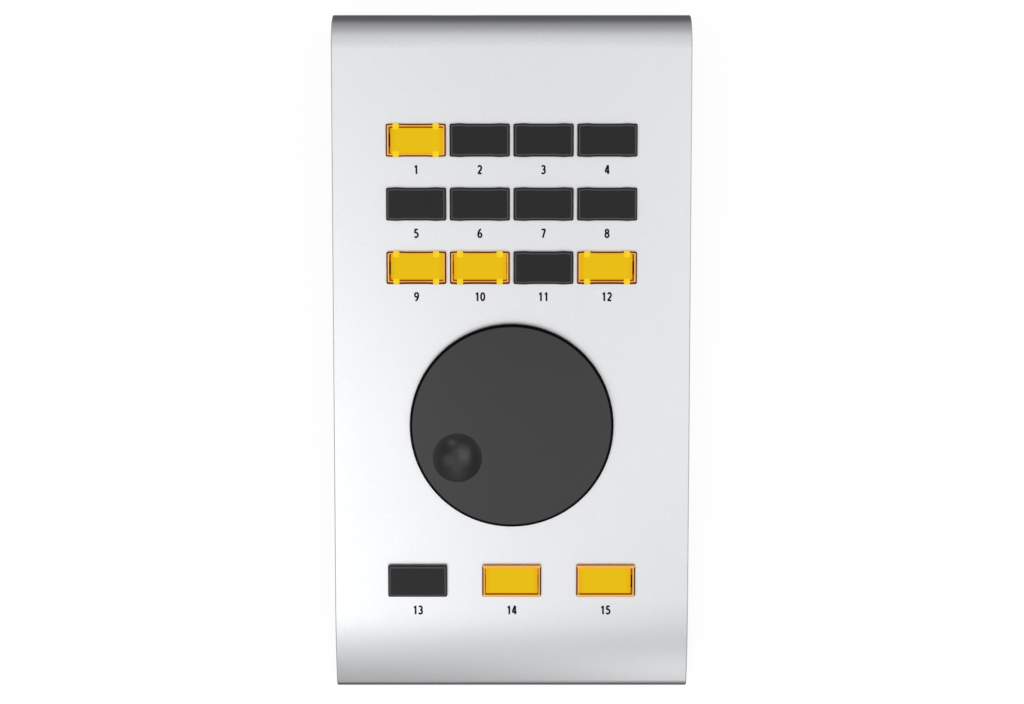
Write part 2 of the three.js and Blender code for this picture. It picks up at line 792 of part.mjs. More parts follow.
// Spacer: pressed into the cover, the board screws into it from below
function boardSpacer() {
  const bottom = boardTop + FIT_GAP;
  const top = -COVER_SHEET - FIT_GAP;
  const bore = rod(SCREW_RADIUS + SCREW_GAP, bottom - OVERRUN, top - FIT_GAP, SCREW_STEPS);
  return cut(rod(SPACER_RADIUS, bottom, top, BORE_STEPS), [bore]);
}

// Pan-head screw pointing up, its shank's root at a given height
function panScrew(root, length) {
  const lowest = root - SCREW_HEAD_HEIGHT;
  const body = revolve(
    [
      [0, lowest],
      ...roundedEdge(
        SCREW_HEAD_RADIUS - SCREW_HEAD_ROUNDING,
        lowest + SCREW_HEAD_ROUNDING,
        SCREW_HEAD_ROUNDING,
        -Math.PI / 2,
        0,
      ),
      [SCREW_HEAD_RADIUS, root],
      [SCREW_RADIUS, root],
      [SCREW_RADIUS, root + length],
      [0, root + length],
    ],
    SCREW_STEPS,
  );
  const slots = [0, Math.PI / 2].map((turn) => {
    const slot = new THREE.BoxGeometry(SCREW_SLOT_LENGTH, SCREW_SLOT_WIDTH, SCREW_SLOT_DEPTH + OVERRUN);
    slot.rotateZ(turn);
    slot.translate(0, 0, lowest + SCREW_SLOT_DEPTH - (SCREW_SLOT_DEPTH + OVERRUN) / 2);
    return slot;
  });
  return cut(body, slots);
}

// Processor: a moulded flat package under the board
function controllerChip() {
  const top = boardBottom - FIT_GAP;
  const middle = top - CHIP_HEIGHT / 2;
  const level = (inset, height) => ({
    ring: roundedRing(CHIP_SIDE - 2 * inset, CHIP_SIDE - 2 * inset, CHIP_CORNER),
    height,
  });
  return loft([level(CHIP_DRAFT, top - CHIP_HEIGHT), level(0, middle), level(CHIP_DRAFT, top)]);
}

// Square socket: a folded steel shell, open to the rear
function usbShell() {
  const front = -FLUSH_GAP;
  const shell = prism(roundedRing(USB_WIDTH, USB_HEIGHT, USB_CORNER), front - USB_LENGTH, front);
  const inside = prism(
    roundedRing(
      USB_WIDTH - 2 * USB_SHELL,
      USB_HEIGHT - 2 * USB_SHELL,
      USB_CORNER - USB_SHELL,
    ),
    front - USB_LENGTH + USB_SHELL,
    front + OVERRUN,
  );
  return cut(shell, [inside]);
}

// Its moulded insert: the mouth has two cut corners, and a tongue stands in the middle
function usbInsert() {
  const front = -FLUSH_GAP - USB_TONGUE_SETBACK;
  const inset = USB_SHELL + FIT_GAP;
  const block = prism(
    roundedRing(USB_WIDTH - 2 * inset, USB_HEIGHT - 2 * inset, USB_CORNER - USB_SHELL),
    -FLUSH_GAP - USB_LENGTH + inset,
    front,
  );
  const side = USB_MOUTH_WIDTH / 2;
  const edge = USB_MOUTH_HEIGHT / 2;
  const mouthRing = [
    [side - USB_MOUTH_CHAMFER, -edge],
    [side, USB_MOUTH_CHAMFER - edge],
    [side, edge],
    [-side, edge],
    [-side, USB_MOUTH_CHAMFER - edge],
    [USB_MOUTH_CHAMFER - side, -edge],
  ].map(([x, y]) => new THREE.Vector2(x, y));
  const mouth = prism(mouthRing, front - USB_MOUTH_DEPTH, front + OVERRUN);
  const tongue = new THREE.BoxGeometry(USB_TONGUE_WIDTH, USB_TONGUE_HEIGHT, USB_MOUTH_DEPTH);
  tongue.translate(0, 0, front - USB_TONGUE_SETBACK - USB_MOUTH_DEPTH / 2);
  return join([cut(block, [mouth]), tongue]);
}

// Round socket: a moulded body against the wall, its nose in the hole and a chamber behind
function jackBody() {
  const face = -COVER_SHEET - FIT_GAP;
  const block = prism(
    roundedRing(JACK_WIDTH, JACK_HEIGHT, JACK_CORNER),
    face - JACK_LENGTH,
    face,
  );
  const nose = rod(JACK_NOSE_RADIUS, face - JACK_WALL / 2, -FLUSH_GAP, BORE_STEPS);
  const bore = rod(JACK_BORE_RADIUS, face - JACK_WALL - OVERRUN, OVERRUN, BORE_STEPS);
  const chamber = prism(
    roundedRing(
      JACK_WIDTH - 2 * JACK_WALL,
      JACK_HEIGHT - 2 * JACK_WALL,
      JACK_CORNER,
    ),
    face - JACK_LENGTH + JACK_WALL,
    face - JACK_WALL,
  );
  return cut(join([block, nose]), [bore, chamber]);
}

// Assembly
const controller = new THREE.Group();
controller.add(panel);
panel.add(rear);

function place(parent, name, geometry, finish, x, y, z) {
  const mesh = new THREE.Mesh(geometry, new THREE.MeshStandardMaterial(finish));
  mesh.name = name;
  mesh.position.set(x, y, z);
  parent.add(mesh);
}

place(controller, "top_cover", topCover(), anodised, 0, 0, 0);
place(controller, "base_tray", baseTray(), powderCoat, 0, 0, 0);

const footGeometry = foot();
for (const { name, x, y } of feet) {
  place(controller, `foot_${name}`, footGeometry, rubber, x, y, 0);
}

const caseScrewGeometry = panScrew(CASE_UNDERSIDE, CASE_SCREW_LENGTH);
for (const { name, x, y } of caseScrews) {
  place(controller, `case_screw_${name}`, caseScrewGeometry, plated, x, y, 0);
}

place(panel, "control_board", controlBoard(), laminate, 0, 0, 0);
const spacerGeometry = boardSpacer();
const boardScrewGeometry = panScrew(boardBottom - FIT_GAP, BOARD_SCREW_LENGTH);
for (const { name, x, y } of spacers) {
  place(panel, `board_spacer_${name}`, spacerGeometry, plated, x, y, 0);
  place(panel, `board_screw_${name}`, boardScrewGeometry, plated, x, y, 0);
}
place(panel, "controller_chip", controllerChip(), blackPlastic, 0, CHIP_BEHIND_ORIGIN, 0);

const capGeometry = buttonCap();
const switchGeometry = keySwitch();
const litNumbers = [1, 9, 10, 12, 14, 15];
buttons.forEach(({ x, along }, index) => {
  const number = String(index + 1).padStart(2, "0");
  const finish = litNumbers.includes(index + 1) ? amberPlastic : darkPlastic;
  place(panel, `button_${number}`, capGeometry, finish, x, along, 0);
  place(panel, `switch_${number}`, switchGeometry, blackPlastic, x, along, 0);
});

const encoder = new THREE.Group();
encoder.position.set(0, -WHEEL_BEFORE_ORIGIN, 0);
panel.add(encoder);
const washerBottom = boardTop + FIT_GAP;
const nutBottom = washerBottom + WASHER_THICKNESS + FIT_GAP;
const washer = collar(WASHER_RADIUS, BORE_STEPS, washerBottom, washerBottom + WASHER_THICKNESS);
const nut = collar(NUT_ACROSS_CORNERS / 2, 6, nutBottom, nutBottom + NUT_THICKNESS);
place(encoder, "jog_wheel", jogWheel(), wheelGrey, 0, 0, 0);
place(encoder, "encoder_shaft", encoderShaft(), plated, 0, 0, 0);
place(encoder, "encoder_body", encoderBody(), blackPlastic, 0, 0, 0);
place(encoder, "encoder_washer", washer, plated, 0, 0, 0);
place(encoder, "encoder_nut", nut, plated, 0, 0, 0);

place(rear, "usb_shell", usbShell(), plated, USB_FROM_MIDDLE, usbDepth, 0);
place(rear, "usb_insert", usbInsert(), whitePlastic, USB_FROM_MIDDLE, usbDepth, 0);
place(rear, "jack_body", jackBody(), blackPlastic, JACK_FROM_MIDDLE, jackDepth, 0);

export default controller;
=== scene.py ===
"""Desktop controller for an audio interface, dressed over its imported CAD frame.

Lengths in the sections below are millimetres; shape() turns them into metres. Only the camera, the
lamps and the sizes of grain and relief in the finishes are given in metres.
"""

import math

import bmesh
import bpy
from mathutils import Matrix, Vector


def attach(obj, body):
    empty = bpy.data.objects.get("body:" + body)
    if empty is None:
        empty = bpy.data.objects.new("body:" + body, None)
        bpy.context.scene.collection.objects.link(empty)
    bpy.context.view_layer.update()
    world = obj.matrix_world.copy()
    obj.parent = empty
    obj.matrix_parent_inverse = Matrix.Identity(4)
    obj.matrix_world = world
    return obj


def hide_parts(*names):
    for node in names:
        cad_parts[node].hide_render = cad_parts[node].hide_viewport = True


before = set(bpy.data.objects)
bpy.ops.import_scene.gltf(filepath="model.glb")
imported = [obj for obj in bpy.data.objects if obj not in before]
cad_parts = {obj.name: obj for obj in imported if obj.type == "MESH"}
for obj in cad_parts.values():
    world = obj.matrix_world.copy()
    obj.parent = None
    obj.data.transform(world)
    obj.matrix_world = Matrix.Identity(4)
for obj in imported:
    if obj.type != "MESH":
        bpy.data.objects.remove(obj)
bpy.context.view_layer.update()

# Camera. The photo looks straight down on the middle of the sloping panel from 0.7 m, with the
# case's rear edge at the top of the picture. Its place and lens come from the fit of the fifteen
# buttons, the wheel and the two long edges.
camera = bpy.data.objects.new("camera", bpy.data.cameras.new("camera"))
camera.data.sensor_width = 36
camera.data.lens = 80.44
camera.location = (0.0001, -0.00049, 0.6974)
bpy.context.scene.collection.objects.link(camera)
bpy.context.scene.camera = camera
bpy.context.scene.view_settings.view_transform = "Standard"

# Top cover. One sheet of 2 mm aluminium, punched flat and then bent: down at the rear, in a long
# easy curve and a tight bend at the front, with four tabs folded in below for the case screws.
# Blasted with glass beads and clear anodised, so its cut edges are slightly round.
tilt = math.radians(6)
panel_rise = 24.2
panel_rear = 88.05
panel_front = 74.75
rear_bend = 10
front_curve = 78
front_turn = math.radians(19)
lip_bend = 3
case_width = 105
case_underside = 3
cover_sheet = 2
cover_edge = 0.35
rear_wall = panel_rear + rear_bend
on_panel = Matrix.Translation((0, 0, panel_rise)) @ Matrix.Rotation(tilt, 4, "X")
on_rear_wall = on_panel @ Matrix.Translation((0, rear_wall, 0)) @ Matrix.Rotation(-math.pi / 2, 4, "X")


def side_point(along, over):
    """A point of the case's side view: its distance along the panel and over the panel's face."""
    return Vector((
        along * math.cos(tilt) - over * math.sin(tilt),
        panel_rise + along * math.sin(tilt) + over * math.cos(tilt),
    ))


def arc(centre, radius, start, end, steps):
    """Points on a bend seen from the side, both ends included."""
    angles = [start + (end - start) * step / steps for step in range(steps + 1)]
    return [Vector((centre[0] + radius * math.cos(a), centre[1] + radius * math.sin(a))) for a in angles]


panel_normal = math.pi / 2 + tilt
lip_normal = panel_normal + front_turn
rear_centre = side_point(panel_rear, -rear_bend)
curve_centre = side_point(-panel_front, -front_curve)
lip_centre = arc(curve_centre, front_curve - lip_bend, lip_normal, lip_normal, 1)[0]
case_front = lip_centre.x - lip_bend


def case_line(inset):
    """The case's side outline a distance inside the cover's face, from rear wall to front lip."""
    rear_top = arc(rear_centre, rear_bend - inset, tilt, tilt, 1)[0]
    foot_of_wall = Vector((rear_top.x + (rear_top.y - case_underside) * math.tan(tilt), case_underside))
    return [
        foot_of_wall,
        *arc(rear_centre, rear_bend - inset, tilt, panel_normal, 28),
        *arc(curve_centre, front_curve - inset, panel_normal, lip_normal, 20),
        *arc(lip_centre, lip_bend - inset, lip_normal, math.pi, 14)[1:],
        Vector((case_front + inset, case_underside)),
    ]


def rounded_rectangle(width, depth, radius, steps=6):
    """Corners of a rectangle with round corners about the origin, anticlockwise."""
    ring = []
    for corner in range(4):
        middle = (corner + 0.5) * math.pi / 2
        centre = (
            math.copysign(width / 2 - radius, math.cos(middle)),
            math.copysign(depth / 2 - radius, math.sin(middle)),
        )
        ring += arc(centre, radius, corner * math.pi / 2, (corner + 1) * math.pi / 2, steps)
    return [(point.x, point.y) for point in ring]


def circle(radius, steps):
    """Points of a circle about the origin, anticlockwise."""
    return [(point.x, point.y) for point in arc((0, 0), radius, 0, 2 * math.pi, steps)[:-1]]


def loft(rings):
    """A closed body through rings of equally many points, flat at its two ends."""
    count = len(rings[0])
    points = [point for ring in rings for point in ring]
    faces = [tuple(range(count)), tuple(range(len(points) - count, len(points)))]
    for start in range(0, len(points) - count, count):
        for i in range(count):
            j = (i + 1) % count
            faces.append((start + i, start + j, start + count + j, start + count + i))
    return points, faces


def prism(ring, bottom, top):
    """A straight body of one outline between two heights."""
    return loft([[(x, y, height) for x, y in ring] for height in (bottom, top)])


def lathe(profile, steps):
    """A turned body about Z from radius and height pairs, flat at its two ends."""
    return loft([[(x, y, height) for x, y in circle(radius, steps)] for radius, height in profile])


def moved(body, place):
    """A body's points and faces, put in another place."""
    points, faces = body
    return [place @ Vector(point) for point in points], faces


def together(bodies):
    """Several bodies that don't touch, as one set of points and faces."""
    points, faces = [], []
    for more_points, more_faces in bodies:
        faces += [tuple(len(points) + i for i in face) for face in more_faces]
        points += more_points
    return points, faces


def shape(name, body):
    """A mesh object from a body's points in millimetres, with its faces turned outwards."""
    points, faces = body
    mesh = bpy.data.meshes.new(name)
    mesh.from_pydata([Vector(point) * 0.001 for point in points], [], faces)
    work = bmesh.new()
    work.from_mesh(mesh)
    bmesh.ops.recalc_face_normals(work, faces=work.faces)
    work.to_mesh(mesh)
    work.free()
    made = bpy.data.objects.new(name, mesh)
    bpy.context.scene.collection.objects.link(made)
    return made


def combine(first, body, operation):
    """Cut a second body out of a mesh object, or join it on, or keep what they share."""
    tool = shape("tool", body)
    step = first.modifiers.new("step", "BOOLEAN")
    step.object = tool
    step.operation = operation
    step.solver = "EXACT"
    result = bpy.data.meshes.new_from_object(first.evaluated_get(bpy.context.evaluated_depsgraph_get()))
    first.modifiers.clear()
    first.data = result
    bpy.data.objects.remove(tool)


def dress(piece, body, finish, angle=28):
    """Smooth a piece over its bends, give it its finish, and let it ride on its body."""
    piece.data.shade_smooth()
    piece.data.set_sharp_from_angle(angle=math.radians(angle))
    even = piece.modifiers.new("even", "WEIGHTED_NORMAL")
    even.keep_sharp = True
    piece.data.materials.clear()
    piece.data.materials.append(finish)
    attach(piece, body)


def linear(code):
    """An sRGB hex colour as linear red, green, blue and alpha."""
    shares = [int(code[i:i + 2], 16) / 255 for i in (1, 3, 5)]
    return (*(s / 12.92 if s <= 0.04045 else ((s + 0.055) / 1.055) ** 2.4 for s in shares), 1)


def add_node(finish, kind, values, **settings):
    """A shader node with its settings; a value that is another node's socket becomes a link."""
    node = finish.node_tree.nodes.new(kind)
    for name, setting in settings.items():
        setattr(node, name, setting)
    for name, value in values.items():
        if isinstance(value, bpy.types.NodeSocket):
            finish.node_tree.links.new(value, node.inputs[name])
        else:
            node.inputs[name].default_value = value
    return node


def new_finish(name):
    """An empty material of a given finish."""
    finish = bpy.data.materials.new(name)
    finish.use_nodes = True
    finish.node_tree.nodes.clear()
    return finish


def noise(finish, grain, detail, roughness=0.5):
    """Noise between 0 and 1 that is fixed to the piece, with spots of a given size in metres."""
    place = add_node(finish, "ShaderNodeTexCoord", {})
    spots = add_node(finish, "ShaderNodeTexNoise", {
        "Vector": place.outputs["Object"], "Scale": 1 / grain, "Detail": detail, "Roughness": roughness})
    return spots.outputs["Fac"]


def blend(finish, share, dark, pale):
    """A colour between two sRGB colours, by a share from 0 to 1."""
    mix = add_node(finish, "ShaderNodeMix", {0: share, 6: linear(dark), 7: linear(pale)}, data_type="RGBA")
    return mix.outputs[2]


def spread(finish, share, low, high):
    """A value between two limits, by a share from 0 to 1."""
    limits = add_node(finish, "ShaderNodeMapRange", {"Value": share, "To Min": low, "To Max": high})
    return limits.outputs["Result"]


def relief(finish, height, strength, depth):
    """Normals that show a height between 0 and 1 as a relief of a given depth in metres."""
    bump = add_node(finish, "ShaderNodeBump", {"Height": height, "Strength": strength, "Distance": depth})
    return bump.outputs["Normal"]


def surface(finish, values):
    """End a finish in one principled shader with these values."""
    shader = add_node(finish, "ShaderNodeBsdfPrincipled", values)
    add_node(finish, "ShaderNodeOutputMaterial", {"Surface": shader.outputs["BSDF"]})


# Anodised aluminium, blasted with 0.1 mm glass beads: a pale satin metal whose tiny craters spread
# every reflection. The craters are drawn at 0.3 mm, because the render can't show finer ones.
anodised_aluminium = new_finish("anodised_aluminium_bead_blasted")
craters = noise(anodised_aluminium, 0.0003, 2.0, 0.6)
clouds = noise(anodised_aluminium, 0.014, 3.0)
speckle = add_node(anodised_aluminium, "ShaderNodeMapRange", {
    "Value": craters, "From Min": 0.3, "From Max": 0.7})
surface(anodised_aluminium, {
    "Base Color": blend(anodised_aluminium, speckle.outputs["Result"], "#d8d9dc", "#e1e2e4"),
    "Metallic": 1.0, "Roughness": spread(anodised_aluminium, clouds, 0.31, 0.35),
    "Normal": relief(anodised_aluminium, craters, 0.35, 0.00002)})

sheet_section = rounded_rectangle(case_width, cover_sheet, cover_edge, 4)
sheet_lines = [case_line(cover_sheet / 2 - y) for x, y in sheet_section]
stations = range(len(sheet_lines[0]))
cover_body = loft([
    [(x, line[station].x, line[station].y) for (x, y), line in zip(sheet_section, sheet_lines)]
    for station in stations
])

# the fifteen windows, the wheel's hole, the two sockets' holes and the gaps beside the tabs
button_pitch = 18.6
outer_column = 1.5 * button_pitch
rear_row = 61.6
front_row = -68.7
button_places = [
    (column * button_pitch - outer_column, rear_row - row * button_pitch)
    for row in range(3) for column in range(4)
] + [(x, front_row) for x in (-outer_column, 0, outer_column)]
window_width = 13.2
window_depth = 7
window_corner = 0.9
wheel_before = 22.06
hub_hole_radius = 6.7
usb_middle = -17
usb_depth = 14.9
usb_hole_width = 12.6
usb_hole_height = 11.6
usb_hole_corner = 1.1
jack_middle = 17
jack_depth = 15.4
jack_hole_radius = 5.05
punch_from = -3
punch_to = 1
window = prism(rounded_rectangle(window_width, window_depth, window_corner), punch_from, punch_to)
punched = [moved(window, on_panel @ Matrix.Translation((x, along, 0))) for x, along in button_places]
hub_hole = lathe([(hub_hole_radius, punch_from), (hub_hole_radius, punch_to)], 64)
punched.append(moved(hub_hole, on_panel @ Matrix.Translation((0, -wheel_before, 0))))

# how far a socket's hole is wider at each height: its outer edge is broken
broken_edge = [(0, punch_from), (0, -0.25), (0.07, -0.08), (0.25, 0), (0.4, punch_to)]
usb_hole = loft([
    [(x, y, height) for x, y in rounded_rectangle(
        usb_hole_width + 2 * flare, usb_hole_height + 2 * flare, usb_hole_corner + flare)]
    for flare, height in broken_edge])
punched.append(moved(usb_hole, on_rear_wall @ Matrix.Translation((usb_middle, usb_depth, 0))))
jack_hole = lathe([(jack_hole_radius + flare, height) for flare, height in broken_edge], 64)
punched.append(moved(jack_hole, on_rear_wall @ Matrix.Translation((jack_middle, jack_depth, 0))))

tab_middle = 32
tab_width = 12
tab_reach = 12
tab_root = 0.5
tab_fold = 2.4
tab_bottom = 4.2
gap_width = tab_width + 1
gap_depth = 4
gap_corner = 0.5
front_fold = (case_front + tab_fold, tab_bottom + tab_fold)
rear_fold = (
    (rear_wall - tab_fold - (tab_bottom + tab_fold - panel_rise) * math.sin(tilt)) / math.cos(tilt),
    tab_bottom + tab_fold,
)
rear_end = rear_fold[0] + tab_fold
for middle in (case_front + 1, rear_end - 1):
    for side in (-tab_middle, tab_middle):
        gap = prism(
            rounded_rectangle(gap_width, gap_depth, gap_corner), case_underside - 1, front_fold[1])
        punched.append(moved(gap, Matrix.Translation((side, middle, 0))))
top_cover = shape("cover_sheet", cover_body)
combine(top_cover, together(punched), "DIFFERENCE")


def tab_line(inset, front):
    """A tab's side view: along its wall, round the fold and back under the case."""
    radius = tab_fold - inset
    if front:
        bend = arc(front_fold, radius, math.pi, 1.5 * math.pi, 8)
        root = Vector((bend[0].x, bend[0].y + tab_root))
        return [root, *bend, Vector((case_front + tab_reach, tab_bottom + inset))]
    bend = arc(rear_fold, radius, tilt, -math.pi / 2, 8)
    root = Vector((bend[0].x - tab_root * math.sin(tilt), bend[0].y + tab_root * math.cos(tilt)))
    return [root, *bend, Vector((rear_end - tab_reach, tab_bottom + inset))]


tabs = []
for front in (True, False):
    outer, inner = tab_line(0, front), tab_line(cover_sheet, front)
    section = [*outer, *reversed(inner)]
    for side in (-tab_middle, tab_middle):
        ends = (side - tab_width / 2, side + tab_width / 2)
        tabs.append(loft([[(x, point.x, point.y) for point in section] for x in ends]))
combine(top_cover, together(tabs), "UNION")
screw_from_tip = 4.5
screw_hole_radius = 1.65
front_screws = case_front + tab_reach - screw_from_tip
rear_screws = rear_end - tab_reach + screw_from_tip
case_screw_places = [
    (side, along) for side in (-tab_middle, tab_middle) for along in (front_screws, rear_screws)
]
thread = lathe([(screw_hole_radius, 3), (screw_hole_radius, 8)], 24)
threads = [moved(thread, Matrix.Translation((x, y, 0))) for x, y in case_screw_places]
combine(top_cover, together(threads), "DIFFERENCE")
dress(top_cover, "root", anodised_aluminium)
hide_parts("top_cover")

# Printed numbers. Plain numerals 1 to 15 in black, screen printed on the cover below each button
# before the buttons go in, and baked. The ink stands a hair above the metal and hides its speckle.
screen_ink = new_finish("black_screen_printing_ink")
mesh_marks = noise(screen_ink, 0.0003, 2.0)
surface(screen_ink, {
    "Base Color": linear("#08080a"), "Roughness": spread(screen_ink, mesh_marks, 0.5, 0.62), "IOR": 1.5,
    "Specular IOR Level": 0.2})

numeral_height = 2.6
numeral_width = 1.35
numeral_spacing = 1.62
numeral_stroke = 0.54
grid_drop = 8.57
front_drop = 9.04
ink_height = 0.015
grid_buttons = 12


def bow(x, y, wide, high, start, end):
    """Points of part of an oval in a numeral's box, which is 1 wide and 1 high, in degrees."""
    angles = [math.radians(start + (end - start) * step / 16) for step in range(17)]
    return [(x + wide * math.cos(a), y + high * math.sin(a)) for a in angles]


# the middle line of each stroke of the pen
strokes = {
    "0": [bow(0.5, 0.5, 0.38, 0.43, 90, 450)],
    "1": [[(0.58, 0), (0.58, 1)], [(0.58, 0.93), (0.24, 0.74)]],
    "2": [[*bow(0.48, 0.67, 0.34, 0.26, 160, -25), (0.14, 0.07)], [(0.08, 0.07), (0.9, 0.07)]],
    "3": [
        [*bow(0.44, 0.72, 0.34, 0.21, 150, -80), (0.36, 0.52)],
        [(0.36, 0.52), *bow(0.44, 0.29, 0.38, 0.23, 80, -150)],
    ],
    "4": [[(0.62, 1), (0.08, 0.3)], [(0.02, 0.27), (0.98, 0.27)], [(0.68, 0), (0.68, 1)]],
    "5": [
        [(0.84, 0.93), (0.22, 0.93)], [(0.25, 0.97), (0.21, 0.52)],
        [(0.2, 0.54), *bow(0.44, 0.32, 0.4, 0.26, 110, -145)],
    ],
    "6": [bow(0.5, 0.3, 0.37, 0.24, 90, 450), bow(0.8, 0.3, 0.66, 0.65, 180, 92)],
    "7": [[(0.08, 0.93), (0.92, 0.93)], [(0.88, 0.93), (0.36, 0)]],
    "8": [bow(0.5, 0.73, 0.31, 0.21, 90, 450), bow(0.5, 0.28, 0.38, 0.23, 90, 450)],
    "9": [bow(0.5, 0.7, 0.37, 0.24, 90, 450), bow(0.2, 0.7, 0.66, 0.65, 0, -88)],
}


def edges(path, width):
    """The left and right edge of a band along a path in a plane."""
    left, right = [], []
    for i, (x, y) in enumerate(path):
        before, after = Vector(path[max(i - 1, 0)]), Vector(path[min(i + 1, len(path) - 1)])
        step = (after - before).normalized() * width / 2
        left.append((x - step.y, y + step.x))
        right.append((x + step.y, y - step.x))
    return left, right


def inked(path):
    """A flat band of ink, one stroke wide, along a path."""
    left, right = edges(path, numeral_stroke)
    points = [(x, y, ink_height) for pair in zip(left, right) for x, y in pair]
    return points, [(i, i + 1, i + 3, i + 2) for i in range(0, len(points) - 2, 2)]


prints = []
for number, (x, along) in enumerate(button_places, 1):
    digits = str(number)
    left = x - ((len(digits) - 1) * numeral_spacing + numeral_width) / 2
    lowest = along - (grid_drop if number <= grid_buttons else front_drop) - numeral_height / 2
    for index, digit in enumerate(digits):
        corner = Matrix.Translation((left + index * numeral_spacing, lowest, 0))
        for path in strokes[digit]:
            drawn = [(u * numeral_width, v * numeral_height) for u, v in path]
            prints.append(moved(inked(drawn), on_panel @ corner))
numerals = shape("printed_numbers", together(prints))
dress(numerals, "root", screen_ink)

# Base tray. A channel of 1 mm steel: floor and two cheeks, whose upper edges follow the cover a
# hair below it. Bent first, then powder coated, which leaves a fine orange peel and soft corners.
powder_coat = new_finish("charcoal_powder_coated_steel")


def calculate(finish, operation, *values, **settings):
    """The result of a sum, a product or the like of some values."""
    node = add_node(finish, "ShaderNodeMath", dict(enumerate(values)), operation=operation, **settings)
    return node.outputs["Value"]


place = add_node(powder_coat, "ShaderNodeTexCoord", {})
peel = noise(powder_coat, 0.0009, 3.0, 0.55)
grains = add_node(powder_coat, "ShaderNodeTexVoronoi", {
    "Vector": place.outputs["Object"], "Scale": 1 / 0.0007})
coat_height = calculate(powder_coat, "ADD", peel, grains.outputs["Distance"])
surface(powder_coat, {
    "Base Color": blend(powder_coat, peel, "#232427", "#2e2f33"), "Roughness": 0.48, "IOR": 1.5,
    "Normal": relief(powder_coat, coat_height, 0.4, 0.00004)})

tray_sheet = 1
tray_width = case_width - 2
tray_bend = 1.6
tray_gap = 0.3
tall = panel_rise + rear_wall
half_length = rear_wall + rear_bend
upright = Matrix.Translation((0, 0, case_underside + tall)) @ Matrix.Rotation(math.pi / 2, 4, "X")
tray = shape("tray_sheet", moved(
    prism(rounded_rectangle(tray_width, 2 * tall, tray_bend, 8), -half_length, half_length), upright))
hollow = prism(
    rounded_rectangle(tray_width - 2 * tray_sheet, 2 * (tall - tray_sheet), tray_bend - tray_sheet, 8),
    -half_length - 1, half_length + 1)
combine(tray, moved(hollow, upright), "DIFFERENCE")
trim_line = case_line(cover_sheet + tray_gap)
trim = loft([[(x, point.x, point.y) for point in trim_line] for x in (-case_width, case_width)])
combine(tray, trim, "INTERSECT")
tray_hole = lathe([(screw_hole_radius, 2), (screw_hole_radius, 5)], 24)
holes = [moved(tray_hole, Matrix.Translation((x, y, 0))) for x, y in case_screw_places]
combine(tray, together(holes), "DIFFERENCE")
dress(tray, "root", powder_coat)
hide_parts("base_tray")

# Feet. Four moulded rubber discs stuck to the tray's floor, a little wider at the top, with a
# shallow dish in the sole from the mould. The rubber is matt and takes dust.
foot_rubber = new_finish("black_moulded_rubber")
dust = noise(foot_rubber, 0.0022, 5.0)
spark_erosion = noise(foot_rubber, 0.0003, 2.0)
surface(foot_rubber, {
    "Base Color": blend(foot_rubber, dust, "#141414", "#262625"), "Roughness": 0.85, "IOR": 1.52,
    "Normal": relief(foot_rubber, spark_erosion, 0.5, 0.00003)})

foot_profile = [
    (3.2, 0.5), (3.5, 0.45), (3.75, 0.2), (3.9, 0.04), (4.1, 0), (4.9, 0), (5.1, 0.04), (5.27, 0.16),
    (5.37, 0.32), (5.4, 0.5), (5.94, 2.8), (6, 3),
]
foot_disc = lathe(foot_profile, 64)
foot_rows = {"front": -79.984, "rear": 84.018}
foot_sides = {"left": -42, "right": 42}
for row, y in foot_rows.items():
    for side, x in foot_sides.items():
        foot = shape(f"foot_disc_{row}_{side}", moved(foot_disc, Matrix.Translation((x, y, 0))))
        dress(foot, "root", foot_rubber)
        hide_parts(f"foot_{row}_{side}")

# Screws. Eight pan heads with a cross recess, zinc plated: four hold the tray to the cover's tabs
# from below, and four hold the board. Cold headed and rolled, so head and thread are one piece.
zinc_plated_steel = new_finish("zinc_plated_steel")
drawn_lines = noise(zinc_plated_steel, 0.0008, 4.0)
surface(zinc_plated_steel, {
    "Base Color": blend(zinc_plated_steel, drawn_lines, "#b9bab8", "#d3d3d0"), "Metallic": 1.0,
    "Roughness": spread(zinc_plated_steel, drawn_lines, 0.24, 0.4),
    "Normal": relief(zinc_plated_steel, drawn_lines, 0.2, 0.00002)})

head_height = 1.7
core_radius = 1.45
thread_depth = 0.22
recess_width = 3.1
recess_slot = 0.62
thread_start = 1.95
half_pitch = 0.2
half_turns = 21
screw_profile = [
    (1.5, 0.03), (2.0, 0.1), (2.35, 0.28), (2.6, 0.55), (2.72, 0.9), (2.75, 1.2), (2.75, 1.6),
    (2.68, head_height), (core_radius, head_height),
    *[(core_radius - thread_depth * (turn % 2), thread_start + half_pitch * turn)
      for turn in range(half_turns)],
    (1.3, 6.15), (0.9, 6.3),
]
screw = shape("screw", lathe(screw_profile, 48))
for turn in (0, math.pi / 2):
    arm = loft([
        [(x, y, height) for x, y in rounded_rectangle(
            recess_width - taper, recess_slot - 0.12 * taper, 0.08, 2)]
        for taper, height in ((0, -0.5), (1.5, 1.05))])
    combine(screw, moved(arm, Matrix.Rotation(turn, 4, "Z")), "DIFFERENCE")
screw_mesh = screw.data
bpy.data.objects.remove(screw)


def set_down(piece, place):
    """Move a mesh object's own points, given a place in millimetres."""
    piece.data.transform(Matrix.Scale(0.001, 4) @ place @ Matrix.Scale(1000, 4))
    return piece


